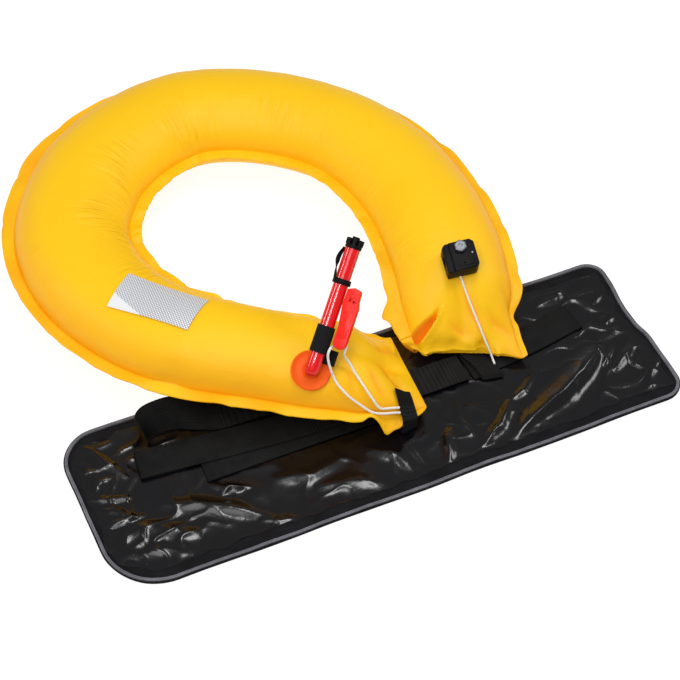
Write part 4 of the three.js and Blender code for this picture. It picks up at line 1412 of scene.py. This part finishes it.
@dataclass(frozen=True)
class Fold:
    """A standing fold of the lining: the line of its ridge in plan, its height, half width and lean.

    A fold with a lean is wider on the right of its line than on the left.
    """

    line: tuple[tuple[float, float], ...]
    height: float
    width: float
    lean: float = 0.0

    def rise(self, x: float, y: float) -> float:
        """Its height over the flat lining at a point of the plan."""
        side, share = beside(self.line, x, y)
        ends = math.sin(math.pi * min(max(share, 0.0), 1.0)) ** 0.7
        if share <= 0.0 or share >= 1.0:
            return 0.0
        width = self.width * (0.45 + 0.55 * ends) * (1 + self.lean * math.copysign(1.0, side))
        return self.height * ends * math.exp(-abs(side / width) ** 1.7)


@dataclass
class Pouch:
    """The opened pouch: back cloth, piping, closure band and wrinkled lining."""

    piping_width: float = 5.0
    piping_height: float = 4.6
    border_width: float = 14.0
    border_thickness: float = 1.5
    corners: tuple[float, float, float, float] = (26.0, 23.0, 45.0, 65.0)
    folds: tuple[Fold, ...] = tuple(Fold(*row) for row in (
        (((280, -8), (264, -24), (240, -41), (205, -59), (159, -76), (124, -94)), 13.0, 12, 0.3),
        (((148, -38), (138, -52), (122, -69), (110, -74), (92, -88)), 6.5, 6.5),
        (((70, -46), (60, -62), (56, -77), (46, -96)), 6.0, 5.5),
        (((294, -92), (306, -74), (318, -58), (332, -38)), 5.0, 5),
        (((274, -52), (292, -38), (312, -20)), 4.5, 5),
        (((266, -40), (280, -28), (292, -16)), 2.5, 2.5),
        (((298, -54), (316, -42), (334, -32)), 3.5, 3.5),
        (((326, 40), (312, 20), (300, 14)), 4.0, 4),
        (((330, 76), (316, 56), (300, 46)), 4.0, 5),
        (((322, 10), (300, -2), (276, -6)), 3.0, 4),
        (((290, 88), (262, 74), (238, 72)), 3.0, 6),
        (((326, -92), (306, -98), (290, -102)), 2.5, 4),
        (((-302, 92), (-293, 62), (-276, 28)), 4.5, 5, 0.3),
        (((-318, 84), (-308, 44), (-310, 10)), 3.5, 5),
        (((-326, 30), (-304, 12), (-282, 6)), 4.0, 4),
        (((-322, 8), (-304, -4), (-288, -24)), 4.0, 4.5),
        (((-326, -14), (-300, -20), (-276, -22)), 3.5, 4),
        (((-310, -44), (-290, -36), (-262, -50), (-232, -70)), 5.0, 13, 0.2),
        (((-300, -66), (-276, -70), (-248, -90)), 3.0, 7),
        (((-266, -12), (-225, -30), (-190, -52), (-152, -80)), 4.5, 9),
        (((-206, -8), (-190, -22), (-170, -32)), 3.5, 5),
        (((-196, -30), (-182, -24), (-160, -34)), 2.5, 3),
        (((-170, -76), (-150, -86), (-126, -90)), 3.0, 4),
        (((-140, -32), (-93, -46), (-48, -36)), 3.5, 9),
        (((-100, -62), (-60, -70), (-20, -92)), 3.0, 10),
        (((-30, -34), (0, -58), (10, -88)), 3.5, 8),
        (((30, -20), (20, -50), (26, -90)), 2.5, 6),
        (((92, -16), (84, -42), (90, -70)), 2.5, 5),
        (((196, -12), (170, -34), (150, -40)), 2.5, 5),
    ))

    def drawn_in(self, point: Vector) -> Vector:
        """A point of the plan, drawn in where the pouch's right end isn't straight."""
        # The right end is hollow in its middle, the far edge falls off to the right, and all edges waver.
        x, y = point.x, point.y
        far_right = smooth(252, 338, x)
        inset = 5 * math.exp(-(((y - 26) / 34) ** 2)) + 1.5 * math.exp(-(((y + 2) / 12) ** 2))
        back = 4 * smooth(150, 300, x) * smooth(50, 108, y)
        wobble = 1.6 * noise.noise(Vector((x / 70, y / 70, 4.0))) * smooth(60, 100, max(abs(y), abs(x) - 235))
        return Vector((x - inset * far_right - abs(wobble), y - back + wobble, point.z))

    def outline(self, inset: float, steps: int = 14) -> list[Vector]:
        """The rounded outline, anticlockwise from the near right corner.

        Args:
            inset: how far inside the pouch's edge.
            steps: points in a corner.

        Returns:
            The points, at height 0.
        """
        right, far = POUCH_LENGTH / 2 - inset, POUCH_DEPTH / 2 - inset
        signs = ((1, -1), (1, 1), (-1, 1), (-1, -1))
        found = []
        for k, ((sx, sy), size) in enumerate(zip(signs, self.corners)):
            radius = size - inset
            middle = Vector((POUCH_SHIFT + sx * (right - radius), sy * (far - radius), 0.0))
            for step in range(steps + 1):
                angle = math.pi / 2 * (k - 1 + step / steps)
                found.append(middle + Vector((math.cos(angle), math.sin(angle), 0.0)) * radius)
        return found

    def even_outline(self, inset: float, count: int) -> list[Vector]:
        """The outline as points an even distance apart, drawn in at the right end."""
        points = self.outline(inset)
        return [self.drawn_in(point) for point in even_points([*points, points[0]], count)[:-1]]

    def ring(
        self, name: str, from_edge: float, outline: Sequence[tuple[float, float]], wave: float,
        material: Material, slot: Slot, nodes: Sequence[str],
    ) -> Piece:
        """Makes a band that runs round the pouch.

        Args:
            name: the piece's name.
            from_edge: how far its section's zero lies inside the pouch's edge.
            outline: the section as (outward, up) points.
            wave: how far it strays from its line.
            material: its material.
            slot: its slot.
            nodes: the solids it stands for.

        Returns:
            The piece.
        """
        count = 420
        points = self.even_outline(from_edge, count)
        sides = len(outline)

        def place(u: float, v: float) -> Vector:
            i = round(u * count) % count
            run = (points[(i + 1) % count] - points[i - 1]).normalized()
            outward = Vector((run.y, -run.x, 0.0))
            across, up = outline[round(v * sides) % sides]
            stray = wave * noise.noise(points[i] / 38)
            return points[i] + outward * (across + stray) + UP * (up + 0.5 * abs(stray))

        bm = bmesh.new()
        lay_grid(bm, count, sides, place, (1700.0, 30.0), close_columns=True, close_lines=True)
        return finish_piece(name, bm, material, slot, nodes, sharp=50)

    def cover(self, material: Material) -> Piece:
        """Makes the back panel with soft edges."""
        bm = bmesh.new()
        prism(bm, self.even_outline(0.3, 300), 0.0, COVER_THICKNESS)
        rims = [edge for edge in bm.edges if len(edge.link_faces) == 2 and edge.calc_face_angle(0.0) > 1.0]
        round_edges(bm, rims, 0.7, 2)
        return finish_piece("pouch_back_cloth", bm, material, Slot.POUCH_CLOTH, ["pouch_cover"])

    def lining(
        self, above: Sequence[Piece], band: Piece, material: Material,
    ) -> Piece:
        """Makes the wrinkled lining, pressed flat under what lies on it and raised over the band.

        Args:
            above: the pieces that lie on it.
            band: the closure band under its edge.
            material: the coated cloth.

        Returns:
            The piece.
        """
        graph = bpy.context.evaluated_depsgraph_get()
        trees = [BVHTree.FromObject(obj, graph) for obj in above]
        under = BVHTree.FromObject(band, graph)
        inset = self.piping_width + self.border_width + 2 * GAP
        half = POUCH_LENGTH / 2 - inset
        far = POUCH_DEPTH / 2 - inset
        columns, lines = 440, 140

        def reach(x: float, size: float) -> float:
            radius = size - inset
            into = max(abs(x) - (half - radius), 0.0)
            return far - radius + math.sqrt(max(radius * radius - into * into, 0.0))

        # The share of a half turn that spaces the columns, closest at the ends.
        turn = 0.86 * math.pi

        def free(u: float, v: float) -> Vector:
            x = half * math.sin((u - 0.5) * turn) / math.sin(turn / 2)
            low = -reach(x, self.corners[3] if x < 0 else self.corners[0])
            high = reach(x, self.corners[2] if x < 0 else self.corners[1])
            y = low + (high - low) * v
            # The folds fade out at the edge, where the cloth is tucked under the band instead.
            edge = (1 - abs(x / half) ** 24) * (1 - abs(2 * v - 1) ** 14)
            rim = 1 - edge
            tuck = noise.noise(Vector((x / 17, y / 17, 6.0)))
            rise = sum(fold.rise(x, y) for fold in self.folds)
            # Slow swells, and small sharp crests that are higher at the pouch's ends.
            slow = noise.noise(Vector((x / 75, y / 45, 0.0)))
            warp = Vector([noise.noise(Vector((x / 50, y / 50, level))) for level in (3.0, 23.0, 43.0)])
            crest = 1 - abs(noise.noise(Vector((x / 34, y / 34, 0.0)) + warp * 0.8)) * 2.4
            ends = 0.35 + 0.65 * smooth(190, 300, abs(x))
            rise += 1.6 * (slow + 0.4) + 2.2 * ends * max(crest, 0.0) ** 3
            height = LINER_TOP - 0.8 + max(rise, 0.0) * edge + rim * (1.6 + 1.2 * tuck)
            wider = 1 + rim * (0.012 + 0.02 * tuck + 0.02 * smooth(200, 300, abs(x)))
            deeper = 1 + rim * (0.03 + 0.05 * tuck)
            return self.drawn_in(Vector((x * wider + POUCH_SHIFT, y * deeper, height)))

        spots = [[free(i / columns, j / lines) for j in range(lines + 1)] for i in range(columns + 1)]
        # The height that the pieces above leave at each point, and the height that the band takes up.
        lid = [[math.inf] * (lines + 1) for _ in spots]
        bed = [[-math.inf] * (lines + 1) for _ in spots]
        search = 0.05
        for i, row in enumerate(spots):
            for j, spot in enumerate(row):
                start = TO_ROW @ Vector((spot.x, spot.y, LAYER_BASE))
                for tree in trees:
                    hit = tree.ray_cast(start, UP, search)[0]
                    if hit is not None:
                        lid[i][j] = min(lid[i][j], hit.z * 1000 - 0.5)
                hit = under.ray_cast(start + UP * search, -UP, search)[0]
                if hit is not None:
                    bed[i][j] = hit.z * 1000 + 0.4
        # The cloth comes away from them at a slope: two sweeps pass each limit on to the neighbours.
        climb, fall = 0.4, 0.3
        sweep = [(i, j) for i in range(columns + 1) for j in range(lines + 1)]
        ways = ((-1, 0), (0, -1), (-1, -1), (-1, 1))
        for order, sign in ((sweep, 1), (sweep[::-1], -1)):
            for i, j in order:
                for di, dj in ways:
                    a, b = i + sign * di, j + sign * dj
                    if 0 <= a <= columns and 0 <= b <= lines:
                        lid[i][j] = min(lid[i][j], lid[a][b] + climb)
                        bed[i][j] = max(bed[i][j], bed[a][b] - fall)

        def place(u: float, v: float) -> Vector:
            i, j = round(u * columns), round(v * lines)
            spot = spots[i][j]
            height = min(max(spot.z, bed[i][j]), lid[i][j])
            return Vector((spot.x, spot.y, max(height, LAYER_BASE + 0.1)))

        bm = bmesh.new()
        lay_grid(bm, columns, lines, place, (2 * half, 2 * far))
        return finish_piece("pouch_lining", bm, material, Slot.LINING, ["pouch_liner"], sharp=80)

    def build(self, above: Sequence[Piece]) -> None:
        """Makes the four pieces, the lining pressed by what lies above."""
        cloth = WovenCloth("woven_back_cloth", "#0D0D0F", "#1D1D20").material()
        piping = WovenCloth("reflective_piping", "#5E5D63", "#8C8B92", 0.6, 0.6, 0.3).material()
        self.cover(cloth)
        # The bead has two rounded ridges with a groove between them.
        high, wide, low = self.piping_height - 1.2, 1.8, LAYER_BASE
        shares = (
            (1.0, 0.2), (1.0, 0.7), (0.7, 1.0), (0.3, 1.0), (0.0, 0.8), (-0.3, 1.0), (-0.7, 1.0),
            (-1.0, 0.7), (-1.0, 0.2), (-0.7, 0.0), (0.7, 0.0),
        )
        bead = [(wide * out, low + high * up) for out, up in shares]
        self.ring("piping_bead", wide + 1.3, bead, 0.8, piping, Slot.PIPING, ["pouch_piping"])
        rim = [(0.0, 0.0), (0.4, 0.3), (0.4, 1.6), (0.1, 2.1), (-0.3, 1.9), (-0.3, 0.3)]
        self.ring("edge_binding", 0.5, [(a, b + low) for a, b in rim], 0.8, cloth, Slot.POUCH_CLOTH, [])
        broad, top = self.border_width, low + self.border_thickness
        band = [
            (0.0, low + 0.3), (0.0, top - 0.3), (-0.5, top), (-broad / 2, top + 0.3), (-broad + 0.5, top),
            (-broad, top - 0.3), (-broad, low + 0.3), (-broad / 2, low),
        ]
        closure = self.ring(
            "closure_band", self.piping_width + GAP, band, 0.8, cloth, Slot.POUCH_CLOTH, ["pouch_border"]
        )
        lining = self.lining(above, closure, GlossLining().material())


# The oral tube and the whistle.


@dataclass
class OralTube:
    """The inflation tube on its disc, with its cap, tether, band and whistle."""

    disc_diameter: float = 44.0
    disc_thickness: float = 2.0
    diameter: float = 16.5
    wall: float = 1.8
    length: float = 136.0
    rise: float = 38.0
    heading: float = 42.0
    cap_diameter: float = 19.5
    cap_height: float = 13.0
    lobes: int = 8
    tether_place: float = 96.0
    tether_width: float = 6.0
    band_place: float = 19.0
    band_length: float = 30.0
    band_thickness: float = 1.4
    whistle_length: float = 68.0
    whistle_width: float = 15.0
    whistle_thickness: float = 8.0
    whistle_place: float = 29.0
    whistle_space: float = 2.5
    row: float = 3.0
    across: float = -0.62

    def frames(self, bladder: Bladder) -> tuple[Matrix, Matrix, Matrix]:
        """The frames of the disc, the tube and the whistle, in millimetres."""
        point, along, normal = bladder.on_top(self.row, self.across, GAP)
        disc = frame_at(point, along, normal.cross(along), normal)
        rise, heading = math.radians(self.rise), math.radians(self.heading)
        run = Vector((math.cos(rise) * math.cos(heading), math.cos(rise) * math.sin(heading), math.sin(rise)))
        side = Vector((math.sin(heading), -math.cos(heading), 0.0))
        foot = point + normal * (self.disc_thickness + GAP + self.diameter / 2)
        tube = frame_at(foot, side, run.cross(side), run)
        clear = self.band_thickness + 2 * GAP + self.whistle_space
        apart = self.diameter / 2 + clear + self.whistle_width / 2
        whistle = frame_at(foot + side * apart + run * self.whistle_place, side, run, side.cross(run))
        return disc, tube, whistle @ Matrix.Translation((0.0, 0.0, -self.whistle_thickness / 2))

    def turned(self, bm: Build, profile: Sequence[tuple[float, float]], steps: int) -> None:
        """Spins a profile of radius and height round Z into a closed body.

        Args:
            bm: the mesh.
            profile: the points, from axis to axis or a closed ring.
            steps: steps round.
        """
        verts = [bm.verts.new((r, 0.0, z)) for r, z in profile]
        edges = [bm.edges.new(pair) for pair in zip(verts, verts[1:])]
        bmesh.ops.spin(
            bm, geom=verts + edges, cent=(0, 0, 0), axis=(0, 0, 1), angle=2 * math.pi,
            steps=steps, use_merge=True, use_duplicate=False,
        )
        bmesh.ops.remove_doubles(bm, verts=bm.verts, dist=1e-4)

    def disc(self, frame_of: Matrix) -> None:
        """Makes the welded disc with its raised ring and thin rim."""
        radius = self.disc_diameter / 2
        profile = [
            (0.0, 1.4), (8.5, 1.4), (9.5, 2.0), (11.0, 2.0), (12.0, 1.3), (radius - 2.2, 1.1),
            (radius - 1.4, 1.5), (radius - 0.5, 1.2), (radius, 0.5), (radius - 0.4, 0.0), (0.0, 0.0),
        ]
        bm = bmesh.new()
        self.turned(bm, profile, 72)
        material = ClearPlastic("weld_disc_vinyl", "#F8600C", 0.5, 0.0, 0.0, 0.2).material()
        finish_piece("weld_disc", bm, material, Slot.DISC, ["valve_disc"], frame_of=frame_of)

    def tube(self, frame_of: Matrix) -> None:
        """Makes the tube with its round foot and open top."""
        radius = self.diameter / 2
        bore = radius - self.wall
        profile = [
            (radius * math.sin(math.radians(a)), -radius * math.cos(math.radians(a))) for a in range(0, 90, 9)
        ]
        profile += [(radius, self.length * k / 12) for k in range(13)]
        profile += [(bore, self.length), (bore, self.wall), (0.0, self.wall)]
        bm = bmesh.new()
        self.turned(bm, profile, 56)
        material = ClearPlastic("tube_vinyl", "#E40910", 0.35, 0.0, 1.0, 0.15).material()
        finish_piece("inflation_tube", bm, material, Slot.TUBE, ["oral_tube"], frame_of=frame_of)

    def cap(self, frame_of: Matrix) -> None:
        """Makes the cap: a round skirt under a castellated crown."""
        radius = self.cap_diameter / 2
        skirt = self.cap_height * 0.3
        count = self.lobes * 8
        bm = bmesh.new()
        crown = []
        for k in range(count):
            angle = 2 * math.pi * k / count
            # Of each lobe's eight points three are at its face, two at its corners and three in a gap.
            reach = radius * (1.0 if 1 <= k % 8 <= 3 else 0.93 if k % 8 in (0, 4) else 0.58)
            crown.append((reach * math.cos(angle), reach * math.sin(angle)))
        prism(bm, crown, skirt, self.cap_height * 0.82)
        edges = [edge for edge in bm.edges if all(vert.co.z > skirt + 1 for vert in edge.verts)]
        round_edges(bm, edges, 0.5, 2)
        top, wide = self.cap_height, radius * 0.94
        hub = [
            (0.0, top - 0.6), (2.6, top - 0.6), (3.0, top), (3.8, top), (4.2, top - 0.5), (4.2, skirt),
            (0.0, skirt),
        ]
        self.turned(bm, hub, 32)
        self.turned(bm, [(0.0, 0.0), (radius * 0.9, 0.0), (wide, 0.5), (wide, skirt), (0.0, skirt)], 48)
        shift = frame_of @ Matrix.Translation((0.0, 0.0, self.length + GAP))
        material = MouldedPlastic("moulded_cap").material()
        finish_piece("tube_cap_moulding", bm, material, Slot.BLACK_PLASTIC, ["tube_cap"], 35, shift)

    def tether(self, frame_of: Matrix) -> None:
        """Makes the rubber ring and the strap up to the cap."""
        inner = self.diameter / 2 + GAP
        outer = inner + 1.6
        width = self.tether_width
        bm = bmesh.new()
        ring = [
            (inner, 0.3), (inner + 0.3, 0.0), (outer - 0.4, 0.0), (outer, 0.5), (outer, width - 0.5),
            (outer - 0.4, width), (inner + 0.3, width), (inner, width - 0.3), (inner, 0.3),
        ]
        self.turned(bm, ring, 48)
        reach = self.length - self.tether_place - GAP
        stops = [
            (-6.8, -6.8, 3), (-7.6, -7.2, 9), (-9.0, -6.0, 14), (-10.4, -4.4, 20),
            (-11.4, -3.0, 26), (-11.2, -2.0, 31), (-inner - 1.6, -1.0, reach - 4),
            (-inner - 1.0, -0.5, reach),
        ]
        centres = smooth_line(stops, 0.8)
        count = len(centres) - 1
        acrosses = []
        for k in range(count + 1):
            turn = math.radians(blend((135, 138, 175, 232, 222, 182), 5 * k / count))
            acrosses.append(Vector((math.sin(turn), math.cos(turn), 0.0)))
        strap_grid(bm, centres, acrosses, 5.0, 1.3)
        shift = frame_of @ Matrix.Translation((0.0, 0.0, self.tether_place))
        material = MouldedPlastic("moulded_rubber", "#0B0B0C", 0.5).material()
        finish_piece("cap_tether_rubber", bm, material, Slot.RUBBER, ["cap_tether"], frame_of=shift)

    def band(self, frame_of: Matrix, material: Material) -> None:
        """Makes the elastic sleeve and its tail."""
        inner = self.diameter / 2 + GAP
        outer = inner + self.band_thickness
        length = self.band_length

        def sleeve(u: float, v: float) -> Vector:
            angle = 2 * math.pi * u
            swell = 0.25 * math.sin(3 * angle) * math.sin(math.pi * v)
            radius = outer + swell - 0.3 * (abs(2 * v - 1) ** 8)
            return Vector((radius * math.cos(angle), radius * math.sin(angle), length * v))

        bm = bmesh.new()
        lay_grid(bm, 64, 20, sleeve, (2 * math.pi * outer, length), close_columns=True)
        bmesh.ops.recalc_face_normals(bm, faces=bm.faces[:])
        bmesh.ops.solidify(bm, geom=bm.faces[:], thickness=self.band_thickness * 0.8)
        centres = [
            Vector((4.5 + 15.0 * t, outer * (0.85 + 0.12 * math.sin(math.pi * t)), -1.25))
            for t in (k / 16 for k in range(17))
        ]
        strap_grid(bm, centres, [UP] * 17, 17.0, self.band_thickness)
        shift = frame_of @ Matrix.Translation((0.0, 0.0, self.band_place))
        finish_piece("elastic_band", bm, material, Slot.BAND, ["tube_band"], frame_of=shift)

    def whistle(self, frame_of: Matrix) -> None:
        """Makes the flat whistle with its window and its slanted mouth."""
        half = self.whistle_width / 2
        length = self.whistle_length
        thick = self.whistle_thickness
        bm = bmesh.new()
        outline = []
        for k in range(17):
            angle = math.pi * (1 + k / 16)
            outline.append((half * math.cos(angle), half + half * math.sin(angle)))
        outline += [
            (half, length - 20), (half - 2.0, length - 13), (half - 2.4, length - 4),
            (half - 3.6, length - 1.5), (-half * 0.4, length), (-half - 3.0, length - 3),
            (-half - 3.6, length - 20), (-half, 24.0),
        ]
        prism(bm, outline, 0.0, thick)
        rims = [edge for edge in bm.edges if abs(edge.verts[0].co.z - edge.verts[1].co.z) < 0.1]
        round_edges(bm, rims, 1.3, 4)
        # Two windows and a shallow groove: aside, distance from the mouth, width, length and depth.
        cuts = bmesh.new()
        for aside, back, wide, tall, deep in (
            (-3.2, 14, 3.4, 4.2, 5.5), (1.6, 15, 4.6, 2.6, 5.5), (-0.6, 11.4, 9.0, 1.4, 1.5),
        ):
            add_box(cuts, (wide, tall, 2 * deep), (aside, length - back, thick))
        cut_out(bm, cuts)
        add_box(bm, (self.whistle_width - 6, 30.0, 0.7), (0.0, 27.0, thick), rounded=0.3)
        material = ClearPlastic("whistle_plastic", "#F7261A", 0.35, 0.0, 0.1, 0.2).material()
        finish_piece("flat_whistle", bm, material, Slot.WHISTLE, ["whistle"], 50, frame_of)

    def build(self, bladder: Bladder) -> None:
        """Makes every piece of the oral inflation group."""
        disc, tube, whistle = self.frames(bladder)
        self.disc(disc)
        self.tube(tube)
        self.cap(tube)
        self.tether(tube)
        self.band(tube, WovenCloth("elastic_weave", "#0E0E10", "#1F1F22", 1.1).material())
        self.whistle(whistle)


# The inflator.


@dataclass
class Inflator:
    """The housing with its cylinder socket, nut and pin."""

    width: float = 37.0
    depth: float = 35.0
    height: float = 20.0
    socket: float = 12.7
    socket_depth: float = 15.0
    nut_width: float = 13.0
    nut_height: float = 5.0
    row: float = 18.64
    across: float = -0.08
    turn: float = -8.6

    def frame_of(self, bladder: Bladder) -> Matrix:
        """The housing's frame: X across, Y up the arm, Z away from the cloth."""
        point, _, normal = bladder.on_top(self.row, self.across, GAP)
        turn = math.radians(self.turn)
        across = Vector((math.cos(turn), math.sin(turn), 0.0))
        across = (across - normal * across.dot(normal)).normalized()
        return frame_at(point, across, normal.cross(across), normal)

    def block(
        self, bm: Build, outline: Sequence[tuple[float, float]], high: float, edge: float
    ) -> None:
        """Adds a block over an outline of the given height, its upper and upright edges rounded."""
        top = prism(bm, outline, 0.0, high)
        round_edges(bm, {line for vert in top for line in vert.link_edges}, edge, 3)

    def housing(self, frame_of: Matrix, material: Material) -> None:
        """Makes the housing: a lower strip at its left, a socket in its side and ribs at its front."""
        half, deep, high = self.width / 2, self.depth / 2, self.height
        # Its cut corners, and the width and the drop of its lower strip.
        cut, strip, step = 4.0, 8.0, 1.6
        edge = strip - half
        bm = bmesh.new()
        left = [
            (-half, -deep + 1), (-half + 1, -deep), (edge + 1, -deep), (edge + 1, deep), (-half + cut, deep),
            (-half, deep - cut),
        ]
        self.block(bm, left, high - step, 1.2)
        right = [
            (edge, -deep), (half - cut, -deep), (half, -deep + cut), (half, deep - cut), (half - cut, deep),
            (edge, deep),
        ]
        self.block(bm, right, high, 1.1)
        bore = bmesh.new()
        add_cone(bore, 40, (self.socket / 2, self.socket / 2), 2 * self.socket_depth, (0, 0, 0))
        bmesh.ops.rotate(bore, verts=bore.verts, cent=(0, 0, 0), matrix=Matrix.Rotation(math.pi / 2, 3, "Y"))
        bmesh.ops.translate(bore, verts=bore.verts, vec=(-half, 0.0, high / 2))
        cut_out(bm, bore)
        hole = bmesh.new()
        add_cone(hole, 20, (1.5, 1.5), 4.0, (2.5, -deep + 7.5, high))
        cut_out(bm, hole)
        for k in range(7):
            add_box(bm, (2.2, 1.0, high * 0.55), (-half + 6.5 + 4.1 * k, -deep, high * 0.42), rounded=0.3)
        wide = self.width - strip
        add_box(bm, (wide - 6, 1.4, 0.8), (edge + wide / 2 + 1, -deep + 5.0, high + 0.1), rounded=0.3)
        finish_piece("inflator_housing", bm, material, Slot.BLACK_PLASTIC, ["inflator_body"], 35, frame_of)

    def nut(self, frame_of: Matrix, material: Material) -> None:
        """Makes the hexagon nut on its round collar, and the pin's head."""
        place = frame_of @ Matrix.Translation((2.0, self.depth / 2 - 8, self.height + GAP))
        radius = self.nut_width / math.sqrt(3)
        high, half = self.nut_height, self.nut_width / 2
        bm = bmesh.new()
        add_cone(bm, 6, (radius, radius), high - 1.4, UP * (high / 2 + 0.5))
        round_edges(bm, bm.edges, 0.7, 3)
        # Its round collar, and the raised round on its top with a dish in it.
        for wide, low, thick in ((half + 0.4, 0.0, 1.2), (half - 1.6, high - 0.5, 0.5)):
            add_cone(bm, 40, (wide, wide - 0.2), thick, UP * (low + thick / 2))
        dish = bmesh.new()
        add_cone(dish, 32, (2.2, 2.8), 1.6, UP * high)
        cut_out(bm, dish)
        finish_piece("cap_nut", bm, material, Slot.STEEL, ["inflator_nut"], 35, place)
        spot = frame_of @ Matrix.Translation((self.width / 2 - 5, 0.0, self.height + GAP))
        bm = bmesh.new()
        add_cone(bm, 24, (1.5, 1.2), 1.0, UP * 0.5)
        finish_piece("pin_head", bm, material, Slot.STEEL, ["inflator_pin"], 35, spot)

    def build(self, bladder: Bladder) -> None:
        """Makes the housing, the nut and the pin's head."""
        frame_of = self.frame_of(bladder)
        self.housing(frame_of, MouldedPlastic("moulded_housing", "#0E0E10", 0.42).material())
        self.nut(frame_of, PlatedSteel().material())


def main() -> None:
    """Builds the pack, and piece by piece."""
    logging.basicConfig(level=logging.INFO, format="%(message)s")
    studio = Studio()
    studio.camera()
    Cords().build()
    bladder = Bladder()
    cloth = bladder.build()
    straps = Belt().build(bladder)
    Pouch().build([cloth, *straps])
    OralTube().build(bladder)
    Inflator().build(bladder)
    studio.build()


if __name__ == "__main__":
    main()
